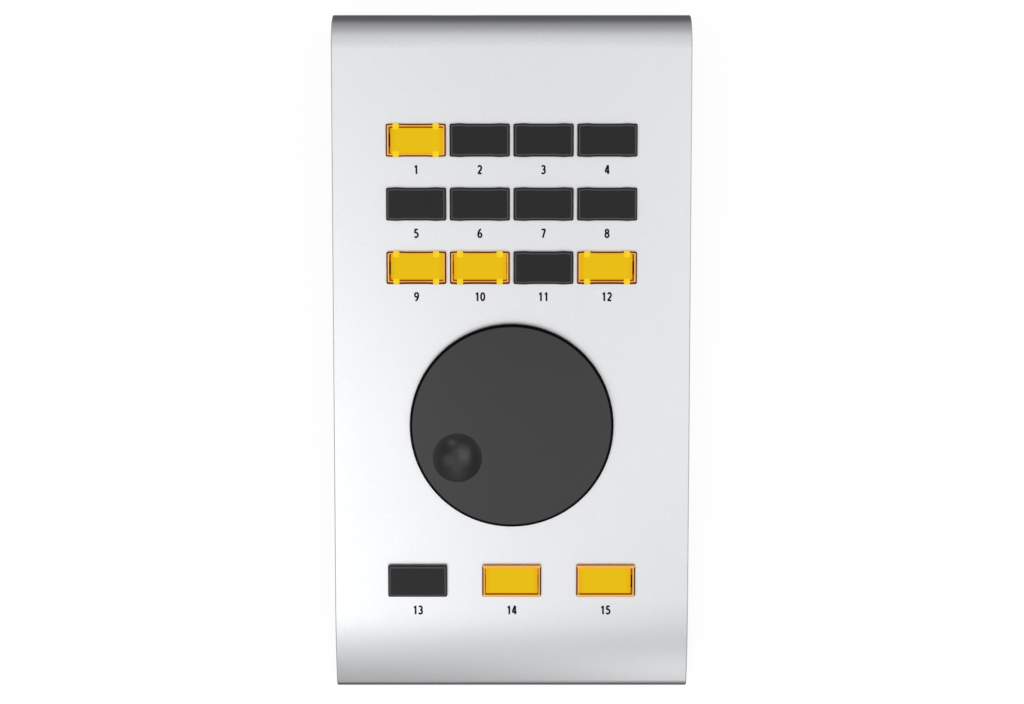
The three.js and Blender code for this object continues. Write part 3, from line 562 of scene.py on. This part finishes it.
case_screw_corners = {
    "front_left": (-tab_middle, front_screws), "front_right": (tab_middle, front_screws),
    "rear_left": (-tab_middle, rear_screws), "rear_right": (tab_middle, rear_screws),
}
board_screw_corners = {
    "front_left": (-43, -54), "front_right": (43, -54), "rear_left": (-43, 78), "rear_right": (43, 78),
}
board_underside = -9.4
for kind, corners, root in (
    ("case", case_screw_corners, Matrix.Translation((0, 0, case_underside - head_height))),
    ("board", board_screw_corners, on_panel @ Matrix.Translation((0, 0, board_underside - head_height))),
):
    for corner, (x, y) in corners.items():
        screw = bpy.data.objects.new(f"{kind}_screw_cross_{corner}", screw_mesh.copy())
        bpy.context.scene.collection.objects.link(screw)
        set_down(screw, root @ Matrix.Translation((x, y, 0)))
        dress(screw, "root", zinc_plated_steel)
        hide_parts(f"{kind}_screw_{corner}")

# Button caps. Each is a moulded plate with bevelled edges on a black carrier, whose skirt runs in
# the cover's window and whose post works the switch. The grid's caps bulge a little where four lugs
# clip into their long walls; the front three have no lugs.
cap_width = 17.6
cap_depth = 9.6
cap_corner = 0.5
lug_from_middle = 5.8
lug_bulge = 0.13
bulge_width = 1.5
wall_steps = 40
cap_crease = 50
lit_numbers = (1, 9, 10, 12, 14, 15)


def cap_outline(inset, lugs):
    """The cap's outline a distance inside its edge, with its long walls swollen over the lugs."""
    half_width, half_depth = cap_width / 2 - inset, cap_depth / 2 - inset
    ring = rounded_rectangle(2 * half_width, 2 * half_depth, max(cap_corner - inset, 0.2), 4)
    outline = []
    for i, (x, y) in enumerate(ring):
        outline.append((x, y))
        after = ring[(i + 1) % len(ring)]
        if abs(after[0] - x) > cap_width / 2:
            outline += [(x + (after[0] - x) * step / wall_steps, y) for step in range(1, wall_steps)]
    if not lugs:
        return outline
    return [
        (x, y + math.copysign(lug_bulge * math.exp(-((abs(x) - lug_from_middle) / bulge_width) ** 2), y))
        if abs(y) > half_depth - 0.01 else (x, y)
        for x, y in outline
    ]


def plate(lugs, levels):
    """A body with the cap's outline through levels of inset and height."""
    return loft([[(x, y, height) for x, y in cap_outline(inset, lugs)] for inset, height in levels])


cap_levels = [
    (0.16, 0.8), (0.05, 0.86), (0, 0.95), (0.05, 1.4), (0.1, 1.49), (0.16, 1.57),
    (0.5, 1.9), (0.68, 2.01), (0.82, 2.065), (0.95, 2.1),
]

# Smoked polycarbonate: nearly black, with a satin face and faint flow waves from the mould. Its bevel
# is painted a shade lighter, and a line at the edge of its top lighter still: both are painted highlights.
smoked_polycarbonate = new_finish("smoked_polycarbonate_moulded")
smoke_bevel_painted_highlight = new_finish("smoked_polycarbonate_bevel_painted_highlight")
smoke_painted_highlight_line = new_finish("smoked_polycarbonate_painted_highlight_line")
for finish, dark, pale in (
    (smoked_polycarbonate, "#141414", "#191919"), (smoke_bevel_painted_highlight, "#262626", "#2b2b2b"),
    (smoke_painted_highlight_line, "#525252", "#585858"),
):
    flow = noise(finish, 0.004, 2.0)
    surface(finish, {
        "Base Color": blend(finish, flow, dark, pale), "Roughness": spread(finish, flow, 0.3, 0.38),
        "IOR": 1.5, "Specular IOR Level": 0.26, "Normal": relief(finish, flow, 0.1, 0.00005)})

# Black ABS for carriers, switches and sockets: moulded with a fine spark-eroded texture of 0.2 mm.
black_abs = new_finish("black_abs_spark_eroded")
erosion = noise(black_abs, 0.0002, 3.0)
surface(black_abs, {
    "Base Color": linear("#101011"), "Roughness": spread(black_abs, erosion, 0.42, 0.58), "IOR": 1.45,
    "Specular IOR Level": 0.3, "Normal": relief(black_abs, erosion, 0.3, 0.00002)})

# The lit caps are amber polycarbonate over a lamp. Their sides glow orange, a band of painted shade,
# dark brown and of a width that differs by row, lies on the bevel, and the wall's top is pale. The roof
# glows yellow and turns orange towards its edge, the lugs are brightest, and the groove between wall
# and roof is brown, which is painted shade in the recess.
glow_finishes = {}
for name, inner, outer, sheen in (
    ("amber_wall_lit", "#fab54a", "#fbc277", 0.25), ("amber_bevel_painted_shade_lit", "#5e360a", "#442405", 0.25),
    ("amber_side_lit", "#ffa02c", "#ffa02c", 0.25), ("amber_roof_lit", "#ebc013", "#ecb012", 0.3),
    ("amber_lug_lit", "#f7d424", "#fbd934", 0.3), ("amber_groove_painted_shade_lit", "#8e4703", "#a05206", 0.4),
):
    finish = glow_finishes[name] = new_finish(name)
    place = add_node(finish, "ShaderNodeTexCoord", {})
    middle = add_node(finish, "ShaderNodeVectorMath", {
        0: place.outputs["Generated"], 1: (0.5, 0.5, 0.5)}, operation="SUBTRACT")
    offset = add_node(finish, "ShaderNodeVectorMath", {0: middle.outputs["Vector"]}, operation="ABSOLUTE")
    axes = add_node(finish, "ShaderNodeSeparateXYZ", {"Vector": offset.outputs["Vector"]})
    to_side = add_node(finish, "ShaderNodeMapRange", {
        "Value": axes.outputs["X"], "From Min": 0.4, "From Max": 0.49})
    to_end = add_node(finish, "ShaderNodeMapRange", {
        "Value": axes.outputs["Y"], "From Min": 0.45, "From Max": 0.5})
    nearness = calculate(finish, "MAXIMUM", to_side.outputs["Result"], to_end.outputs["Result"])
    surface(finish, {
        "Base Color": linear("#1c0e00"), "Roughness": sheen, "IOR": 1.45, "Specular IOR Level": 0.04,
        "Emission Color": blend(finish, nearness, inner, outer), "Emission Strength": 0.97,
        "Normal": relief(finish, noise(finish, 0.003, 2.0), 0.1, 0.00005)})

# the carrier: its skirt, its post, and the saddle that a lit cap sits on
skirt_outline = rounded_rectangle(12.6, 6.4, 0.6)
skirt_bottom = -1.2
carrier_top = 0.95
skirt_hollow = prism(rounded_rectangle(10.2, 4, 0.6), -3, 0.8)
post = prism(rounded_rectangle(4.2, 4.2, 0.6), -5.6, 0.93)
saddle_levels = [(0.2, 0.75), (0.12, 0.8), (0.12, 0.93), (0.2, 0.98)]

# between which heights a dark cap's bevel and the line at the edge of its top carry painted highlights
bevel_bottom = 1.41
highlight_line_bottom = 1.9
highlight_line_top = 2.05

# the places of the four lugs, which are cut out of a lit cap's long walls
lug_half = 0.875
clip_reach = 1.6
clip_bottom = 1.12
clip = prism([
    (-lug_half, -clip_reach), (lug_half, -clip_reach), (lug_half, clip_reach), (-lug_half, clip_reach),
], clip_bottom, 3)
clips = together([
    moved(clip, Matrix.Translation((side * lug_from_middle, end * cap_depth / 2, 0)))
    for side in (-1, 1) for end in (-1, 1)
])

# a lit cap's wall, and how high its bright side and the painted shade on its bevel reach
wall_levels = [
    (0.16, 0.98), (0.05, 1.02), (0, 1.08), (0.05, 1.4), (0.1, 1.49), (0.16, 1.58),
    (0.48, 1.89), (0.6, 1.99), (0.68, 2.05), (0.76, 2.1),
]
opening_inset = 0.82
long_wall = 4.1
side_top = 1.35
usual_painted_shade_top = 1.86
third_row_painted_shade_top = 2.06
front_row_painted_shade_top = 1.56

# the groove inside the wall, and the roof
groove_levels = [(0.6, 1.05), (0.6, 1.4)]
groove_notch = prism(rounded_rectangle(1.6, 3.8, 0.2, 2), 0.9, 2)
notch_from_middle = 7.9
roof_levels = [(0, 1.05), (0, 1.9), (0.04, 2.0), (0.14, 2.06)]
roof_width = 15.4
roof_depth = 7.48
roof_corner = 0.3
roof_body = loft([
    [(x, y, height) for x, y in rounded_rectangle(
        roof_width - 2 * inset, roof_depth - 2 * inset, roof_corner, 3)]
    for inset, height in roof_levels])

# how far the roof and the wall's opening stand off the cap's middle, to the side and by row
side_play = 0.33
opening_share = 0.2
roof_play = {0: -0.2, 1: 0, 2: 0.33, 3: 0.22}
opening_play = {0: 0, 1: 0, 2: 0.12, 3: 0}

for number, (x, along) in enumerate(button_places, 1):
    seat = on_panel @ Matrix.Translation((x, along, 0))
    body = f"cap_{number:02}"
    lit = number in lit_numbers
    lugs = number <= grid_buttons
    carrier = shape(f"carrier_{number:02}", prism(skirt_outline, skirt_bottom, carrier_top))
    if lit:
        combine(carrier, plate(False, saddle_levels), "UNION")
    combine(carrier, skirt_hollow, "DIFFERENCE")
    combine(carrier, post, "UNION")
    dress(set_down(carrier, seat), body, black_abs)
    if not lit:
        cap = shape(f"dark_cap_{number:02}", plate(lugs, cap_levels))
        heights = [face.center.z * 1000 for face in cap.data.polygons]
        dress(set_down(cap, seat), body, smoked_polycarbonate, cap_crease)
        cap.data.materials.append(smoke_bevel_painted_highlight)
        cap.data.materials.append(smoke_painted_highlight_line)
        # the bevel and the line at the top's edge take the lighter finishes, which are painted highlights
        for face, height in zip(cap.data.polygons, heights):
            if bevel_bottom < height < highlight_line_bottom:
                face.material_index = 1
            elif highlight_line_bottom < height < highlight_line_top:
                face.material_index = 2
        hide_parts(f"button_{number:02}")
        continue
    row = min((number - 1) // 4, 3)
    sideways = -side_play * x / outer_column
    wall = shape(f"amber_wall_{number:02}", plate(lugs, wall_levels))
    opening = plate(False, [(opening_inset, 0), (opening_inset, 3)])
    opening_place = Matrix.Translation((opening_share * sideways, opening_play[row], 0))
    combine(wall, moved(opening, opening_place), "DIFFERENCE")
    if lugs:
        combine(wall, clips, "DIFFERENCE")
        lug_set = shape(f"amber_lugs_{number:02}", plate(True, cap_levels))
        combine(lug_set, clips, "INTERSECT")
        dress(set_down(lug_set, seat), body, glow_finishes["amber_lug_lit"], cap_crease)
    face_places = [(face.center.y * 1000, face.center.z * 1000) for face in wall.data.polygons]
    dress(set_down(wall, seat), body, glow_finishes["amber_wall_lit"], cap_crease)
    wall.data.materials.append(glow_finishes["amber_bevel_painted_shade_lit"])
    wall.data.materials.append(glow_finishes["amber_side_lit"])
    # above the orange side, up to a height set by row, the bevel carries the dark band of painted shade
    for face, (depth, height) in zip(wall.data.polygons, face_places):
        painted_shade_top = usual_painted_shade_top
        if row == 2 and depth < -long_wall:
            painted_shade_top = third_row_painted_shade_top
        if row == 3 and abs(depth) > long_wall:
            painted_shade_top = front_row_painted_shade_top
        if height < side_top:
            face.material_index = 2
        elif height < painted_shade_top:
            face.material_index = 1
    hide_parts(f"button_{number:02}")
    # the groove's brown glow is painted shade in the recess between wall and roof
    groove = shape(f"amber_groove_{number:02}", plate(False, groove_levels))
    for side in (-1, 1):
        notch_place = Matrix.Translation((side * notch_from_middle, 0, 0))
        combine(groove, moved(groove_notch, notch_place), "DIFFERENCE")
    dress(set_down(groove, seat), body, glow_finishes["amber_groove_painted_shade_lit"], cap_crease)
    roof = shape(f"amber_roof_{number:02}", roof_body)
    roof_place = seat @ Matrix.Translation((sideways, roof_play[row], 0))
    dress(set_down(roof, roof_place), body, glow_finishes["amber_roof_lit"], cap_crease)

# Jog wheel. A 60 mm disc moulded in dark grey nylon and turned true: a satin face, a black rounded
# edge and a finger dimple. Its hub passes the panel and is pressed on the encoder's shaft.
wheel_face = 3.6
flat_radius = 29.2
edge_bevel = 0.8
shaft_bore = 3.3
dimple_radius = 7.25
dimple_depth = 2.4
dimple_from_axis = 18.5
dimple_bearing = math.radians(210.5)
dimple_rim_height = 3.595
dimple_rim_radius = 7.4
wheel_axis = on_panel @ Matrix.Translation((0, -wheel_before, 0))
wheel_profile = [
    (6, -3.4), (6, 0.6), (27.5, 0.6), (27.5, 0.4),
    *[(point.x, point.y) for point in arc((29.6, 0.8), 0.4, -math.pi / 2, 0, 6)],
    *[(point.x, point.y) for point in arc((flat_radius, 2.8), edge_bevel, 0, math.pi / 2, 12)],
]
wheel = shape("wheel_disc", lathe(wheel_profile, 180))
ball_radius = (dimple_radius ** 2 + dimple_depth ** 2) / (2 * dimple_depth)
ball_height = wheel_face - dimple_depth + ball_radius
rim_angle = math.asin(dimple_radius / ball_radius)
dish_angles = [rim_angle * step / 24 for step in range(1, 24)]
dish = [
    *[(ball_radius * math.sin(angle), ball_height - ball_radius * math.cos(angle)) for angle in dish_angles],
    (7.22, 3.585), (7.33, 3.63), (7.6, 4.0),
]
dish_place = Matrix.Translation((
    dimple_from_axis * math.cos(dimple_bearing), dimple_from_axis * math.sin(dimple_bearing), 0))
combine(wheel, moved(lathe(dish, 96), dish_place), "DIFFERENCE")
combine(wheel, lathe([(shaft_bore, -5), (shaft_bore, 2.3)], 48), "DIFFERENCE")
in_dimple = [
    face.center.z * 1000 < dimple_rim_height
    and (face.center.xy * 1000 - dish_place.translation.xy).length < dimple_rim_radius
    for face in wheel.data.polygons
]
set_down(wheel, wheel_axis)

# Glass-filled nylon with a satin face: the fibres leave a faint uneven grain of about 0.3 mm. The
# dimple is a shade darker.
wheel_nylon = new_finish("dark_grey_nylon_satin")
darker_dimple_nylon = new_finish("dark_grey_nylon_darker_dimple")
for finish, dark, pale, roughness in (
    (wheel_nylon, "#1f1f20", "#262627", 0.25), (darker_dimple_nylon, "#101010", "#151516", 0.27),
):
    fibres = noise(finish, 0.0003, 3.0)
    surface(finish, {
        "Base Color": blend(finish, fibres, dark, pale), "Roughness": roughness, "IOR": 1.53,
        "Normal": relief(finish, fibres, 0.12, 0.00001)})

# The wheel's edge beyond its flat face is a deep satin black that swallows the light.
wheel_black = new_finish("black_wheel_edge")
surface(wheel_black, {
    "Base Color": linear("#030303"), "IOR": 1.4, "Specular IOR Level": 0.1,
    "Roughness": spread(wheel_black, noise(wheel_black, 0.0015, 2.0), 0.5, 0.6)})
dress(wheel, "wheel", wheel_nylon)
wheel.data.materials.append(wheel_black)
wheel.data.materials.append(darker_dimple_nylon)
for face, dimple_face in zip(wheel.data.polygons, in_dimple):
    if dimple_face:
        face.material_index = 2
    elif (face.center * 1000 - wheel_axis.translation).length > flat_radius:
        face.material_index = 1
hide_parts("jog_wheel")

# Rotary encoder. A moulded body on the board with a plated bushing, held by a washer and a nut; its
# ground shaft carries the wheel. Its pieces keep the frame's shapes.


def refinish(name, finish):
    """Give a piece that keeps its shape from the frame another finish."""
    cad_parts[name].material_slots[0].material = finish


for name in ("encoder_shaft", "encoder_washer", "encoder_nut"):
    refinish(name, zinc_plated_steel)
refinish("encoder_body", black_abs)

# Key switches. Low square tact switches in black ABS, each with a well for its cap's post. They
# keep the frame's shapes too.
for number in range(1, len(button_places) + 1):
    refinish(f"switch_{number:02}", black_abs)

# Control board. Glass-fibre laminate under green solder resist, which shows the copper tracks as
# paler lines. It hangs on four turned spacers, pressed into the cover.
board_laminate = new_finish("green_solder_resist_on_laminate")
place = add_node(board_laminate, "ShaderNodeTexCoord", {})
tracks = add_node(board_laminate, "ShaderNodeTexBrick", {
    "Vector": place.outputs["Object"], "Scale": 1 / 0.012, "Mortar Size": 0.018, "Mortar Smooth": 0.1,
    "Brick Width": 0.7, "Row Height": 0.11})
resist = blend(board_laminate, noise(board_laminate, 0.0008, 3.0), "#0f3d24", "#14492c")
tracked = add_node(board_laminate, "ShaderNodeMix", {
    0: tracks.outputs["Fac"], 6: resist, 7: linear("#2c6b3d")}, data_type="RGBA")
surface(board_laminate, {
    "Base Color": tracked.outputs[2], "Roughness": 0.3, "IOR": 1.5,
    "Normal": relief(board_laminate, tracks.outputs["Fac"], 0.6, 0.00003)})
refinish("control_board", board_laminate)
for corner in board_screw_corners:
    refinish(f"board_spacer_{corner}", zinc_plated_steel)

# Processor. A square chip in black epoxy under the board, with 48 tinned legs that were formed in
# one press stroke and soldered to it.
refinish("controller_chip", black_abs)


def strip(path, thickness, width):
    """A flat strip of metal bent along a path of Y and Z, with its width along X."""
    upper, lower = edges(path, thickness)
    section = [*upper, *reversed(lower)]
    return loft([[(x, y, z) for y, z in section] for x in (-width / 2, width / 2)])


leg_path = [(4.7, -10), (5.25, -10), (5.4, -9.92), (5.55, -9.3), (5.7, -9.18), (6.2, -9.18)]
leg_pitch = 0.75
legs_per_side = 12
chip_along = 52
leg_body = strip(leg_path, thickness=0.14, width=0.3)
chip_place = on_panel @ Matrix.Translation((0, chip_along, 0))
legs = []
for side in range(4):
    edge_place = chip_place @ Matrix.Rotation(side * math.pi / 2, 4, "Z")
    for leg in range(legs_per_side):
        leg_place = Matrix.Translation(((leg - (legs_per_side - 1) / 2) * leg_pitch, 0, 0))
        legs.append(moved(leg_body, edge_place @ leg_place))
chip_legs = shape("chip_legs", together(legs))
dress(chip_legs, "root", zinc_plated_steel)

# Data socket. A shell folded from nickel plated steel round a white moulded insert, whose mouth has
# two cut corners so that the plug goes in one way, and whose tongue carries four gilt contacts.
usb_place = on_rear_wall @ Matrix.Translation((usb_middle, usb_depth, 0))
shell_width = 12
shell_height = 11
shell_sheet = 0.5
shell_corner = 0.8
usb_shell = shape("usb_folded_shell", moved(loft([
    [(x, y, height) for x, y in rounded_rectangle(
        shell_width - 2 * inset, shell_height - 2 * inset, shell_corner - inset, 5)]
    for inset, height in ((0.15, -16.2), (0, -16.05), (0, -0.35), (0.05, -0.24), (0.15, -0.2))]), usb_place))
shell_bore = loft([
    [(x, y, height) for x, y in rounded_rectangle(
        shell_width - 2 * shell_sheet + 2 * flare, shell_height - 2 * shell_sheet + 2 * flare,
        0.3 + flare, 5)]
    for flare, height in ((0, -15.7), (0, -0.4), (0.15, -0.2), (0.3, 0.4))])
combine(usb_shell, moved(shell_bore, usb_place), "DIFFERENCE")
seam_width = 0.12
fold_seam = prism(rounded_rectangle(seam_width, 2, 0.05, 2), -17, 1)
seam_place = usb_place @ Matrix.Translation((0, shell_height / 2, 0))
combine(usb_shell, moved(fold_seam, seam_place), "DIFFERENCE")
dress(usb_shell, "root", zinc_plated_steel)
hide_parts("usb_shell")

white_nylon = new_finish("white_moulded_nylon")
flow_marks = noise(white_nylon, 0.002, 3.0)
surface(white_nylon, {
    "Base Color": blend(white_nylon, flow_marks, "#d9d7cf", "#e4e2da"), "Roughness": 0.45, "IOR": 1.53})

mouth_corners = [
    (2.225, -3.89), (4.225, -1.89), (4.225, 3.89), (-4.225, 3.89), (-4.225, -1.89), (-2.225, -3.89),
]
insert_width = 10.4
insert_height = 9.4
insert_rear = -15.4
insert_front = -1.2
insert_block = prism(rounded_rectangle(insert_width, insert_height, 0.3, 4), insert_rear, insert_front)
usb_insert = shape("usb_moulded_insert", moved(insert_block, usb_place))
mouth = loft([
    [(x * flare, y * flare, height) for x, y in mouth_corners]
    for flare, height in ((1, -10.2), (1, -1.5), (1.07, -1.2), (1.1, -0.8))])
combine(usb_insert, moved(mouth, usb_place), "DIFFERENCE")
tongue_width = 5.6
tongue_height = 3.2
tongue = loft([
    [(x, y, height) for x, y in rounded_rectangle(
        tongue_width - 2 * inset, tongue_height - 2 * inset, 0.25, 3)]
    for inset, height in ((0, -10.6), (0, -2.5), (0.08, -2.28), (0.25, -2.2))])
combine(usb_insert, moved(tongue, usb_place), "UNION")
dress(usb_insert, "root", white_nylon)
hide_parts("usb_insert")

gilt_contact = new_finish("gilt_spring_bronze")
wear = noise(gilt_contact, 0.0006, 3.0)
surface(gilt_contact, {
    "Base Color": blend(gilt_contact, wear, "#c79a3c", "#dcb35a"), "Metallic": 1.0, "Roughness": 0.25})
contact_path = [(1.56, -10), (1.66, -9.6), (1.66, -3.3), (1.56, -2.9)]
contacts = []
for face in (-1, 1):
    contact = strip([(face * y, z) for y, z in contact_path], thickness=0.12, width=1)
    for x in (-1.25, 1.25):
        contacts.append(moved(contact, usb_place @ Matrix.Translation((x, 0, 0))))
usb_contacts = shape("usb_contacts", together(contacts))
dress(usb_contacts, "root", gilt_contact)

# Foot switch socket. A black moulded block, open at the back of its bore into a chamber where two
# springs wait for the plug; its round nose fills the hole in the cover's rear wall.
jack_place = on_rear_wall @ Matrix.Translation((jack_middle, jack_depth, 0))
block_width = 14.5
block_height = 12
block_corner = 0.8
jack_block = loft([
    [(x, y, height) for x, y in rounded_rectangle(
        block_width - 2 * inset, block_height - 2 * inset, block_corner - inset, 5)]
    for inset, height in ((0.2, -23.3), (0, -23.1), (0, -2.5), (0.2, -2.3))])
jack_body = shape("jack_moulded_body", moved(jack_block, jack_place))
nose = [(4.75, -3), (4.75, -0.4), (4.69, -0.26), (4.55, -0.2)]
combine(jack_body, moved(lathe(nose, 72), jack_place), "UNION")
bore = [(3.35, -4.5), (3.35, -0.85), (3.5, -0.65), (3.95, -0.2), (4.2, 0.05)]
combine(jack_body, moved(lathe(bore, 72), jack_place), "DIFFERENCE")
chamber_width = 11.5
chamber_height = 9
chamber_rear = -21.8
chamber_front = -3.8
chamber = prism(
    rounded_rectangle(chamber_width, chamber_height, block_corner, 5), chamber_rear, chamber_front)
combine(jack_body, moved(chamber, jack_place), "DIFFERENCE")
dress(jack_body, "root", black_abs)
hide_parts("jack_body")

spring_path = [(4.2, -21), (4.0, -15), (3.3, -9), (2.85, -7.2), (3.0, -6.6), (3.9, -5)]
springs = [
    moved(strip([(face * y, z) for y, z in spring_path], thickness=0.35, width=3.2), jack_place)
    for face in (-1, 1)
]
jack_springs = shape("jack_springs", together(springs))
dress(jack_springs, "root", zinc_plated_steel)

# Floor. A white studio table. The camera sees it near white, with the object's own shadow left in
# it. Reflections see it with painted shade: dim near the object, so that the metal turns dark where it
# mirrors it, and brighter far off and to the sides.
table_white = new_finish("white_table")
rays = add_node(table_white, "ShaderNodeLightPath", {})
spot = add_node(table_white, "ShaderNodeTexCoord", {})
distance = add_node(table_white, "ShaderNodeVectorMath", {0: spot.outputs["Object"]}, operation="LENGTH")
# painted shade for reflections only: dim near the object, brighter with distance and to the sides
reflected_shade_by_distance = add_node(table_white, "ShaderNodeMapRange", {
    "Value": distance.outputs["Value"], "From Min": 0.2, "From Max": 0.6, "To Min": 0.04, "To Max": 0.22})
axes = add_node(table_white, "ShaderNodeSeparateXYZ", {"Vector": spot.outputs["Object"]})
aside = calculate(table_white, "ABSOLUTE", axes.outputs["X"])
reflected_shade_by_side = add_node(table_white, "ShaderNodeMapRange", {
    "Value": aside, "From Min": 0.06, "From Max": 0.3, "To Min": 0, "To Max": 0.4})
brightness = calculate(table_white, "ADD", reflected_shade_by_distance.outputs["Result"], reflected_shade_by_side.outputs["Result"])
mirrored = calculate(table_white, "MULTIPLY", rays.outputs["Is Glossy Ray"], brightness)
seen = calculate(table_white, "ADD", rays.outputs["Is Camera Ray"], rays.outputs["Is Transmission Ray"])
shown = calculate(table_white, "ADD", seen, mirrored, use_clamp=True)
glow_share = 0.8
share = calculate(table_white, "MULTIPLY", shown, glow_share)
paper_grain = add_node(table_white, "ShaderNodeTexNoise", {"Scale": 400.0, "Detail": 2.0})
paper_tone = spread(table_white, paper_grain.outputs["Fac"], 0.095, 0.105)
paper_lift = 0.5
paper_shade = calculate(table_white, "MULTIPLY_ADD", seen, paper_lift, paper_tone)
lit_table = add_node(table_white, "ShaderNodeBsdfDiffuse", {"Color": paper_shade})
white = add_node(table_white, "ShaderNodeEmission", {"Color": linear("#ffffff"), "Strength": 1.15})
table_mix = add_node(table_white, "ShaderNodeMixShader", {
    0: share, 1: lit_table.outputs["BSDF"], 2: white.outputs["Emission"]})
add_node(table_white, "ShaderNodeOutputMaterial", {"Surface": table_mix.outputs["Shader"]})
table_half = 3000
table_corners = [(-table_half, -table_half), (table_half, -table_half), (table_half, table_half),
                 (-table_half, table_half)]
floor = shape("table_top", ([(x, y, 0) for x, y in table_corners], [(0, 1, 2, 3)]))
floor.data.materials.append(table_white)

# Light. Softboxes 0.85 m away make one large soft source that reaches from just behind the object
# to low before it, brighter on the left. One small lamp low on the right shines in the wheel's
# dimple. The room is pale all round, and glows more high behind, low in front and on the right.

# each lamp's swing forward and sideways in degrees, its size and its strength
softboxes = {
    "softbox_behind": (-8, 0, 0.4, 0.39), "softbox_left": (8, -22, 0.4, 0.77),
    "softbox_top": (8, 0, 0.4, 0.12), "softbox_right": (8, 22, 0.4, 0.8),
    "softbox_front_left": (24, -20, 0.4, 0.92), "softbox_front": (24, 0, 0.4, 0.52),
    "softbox_low_left": (40, -20, 0.4, 0.55), "softbox_low": (40, 0, 0.4, 0.27),
    "small_lamp": (57, 11, 0.2, 1.5),
}
lamp_distance = 0.85
for name, (forward, sideways, size, strength) in softboxes.items():
    softbox = bpy.data.objects.new(name, bpy.data.lights.new(name, "AREA"))
    softbox.data.size = size
    softbox.data.energy = strength * math.pi * size ** 2
    swing = Matrix.Rotation(math.radians(forward), 4, "X") @ Matrix.Rotation(math.radians(sideways), 4, "Y")
    softbox.matrix_world = swing @ Matrix.Translation((0, 0, lamp_distance))
    bpy.context.scene.collection.objects.link(softbox)

studio = bpy.data.worlds.new("studio")
studio.use_nodes = True
studio.node_tree.nodes.clear()
bpy.context.scene.world = studio
sky = add_node(studio, "ShaderNodeTexCoord", {})
levels = []
for forward, sideways, narrowness, strength in ((-30, 0, 8.0, 0.62), (88, 0, 20.0, 0.3), (0, 90, 3.0, 0.3)):
    swing = Matrix.Rotation(math.radians(forward), 3, "X") @ Matrix.Rotation(math.radians(sideways), 3, "Y")
    towards = add_node(studio, "ShaderNodeVectorMath", {
        0: sky.outputs["Generated"], 1: swing @ Vector((0, 0, 1))}, operation="DOT_PRODUCT")
    facing = calculate(studio, "MAXIMUM", towards.outputs["Value"], 0.0)
    lobe = calculate(studio, "POWER", facing, narrowness)
    levels.append(calculate(studio, "MULTIPLY", lobe, strength))

# low on both sides the walls are bright: nothing of the metal that the photo shows mirrors them
wall_narrowness = 6.0
wall_strength = 1.6
way = add_node(studio, "ShaderNodeSeparateXYZ", {"Vector": sky.outputs["Generated"]})
under = calculate(studio, "SUBTRACT", 1.0, way.outputs["Z"], use_clamp=True)
lowness = calculate(studio, "POWER", under, wall_narrowness)
sideness = calculate(studio, "MULTIPLY", way.outputs["X"], way.outputs["X"])
low_glow = calculate(studio, "MULTIPLY", lowness, sideness)
levels.append(calculate(studio, "MULTIPLY", low_glow, wall_strength))
pale_walls = add_node(studio, "ShaderNodeBackground", {"Color": linear("#ffffff"), "Strength": 0.36})
room = pale_walls.outputs["Background"]
for level in levels:
    wall_light = add_node(studio, "ShaderNodeBackground", {"Color": linear("#ffffff"), "Strength": level})
    joined = add_node(studio, "ShaderNodeAddShader", {0: room, 1: wall_light.outputs["Background"]})
    room = joined.outputs["Shader"]
add_node(studio, "ShaderNodeOutputWorld", {"Surface": room})
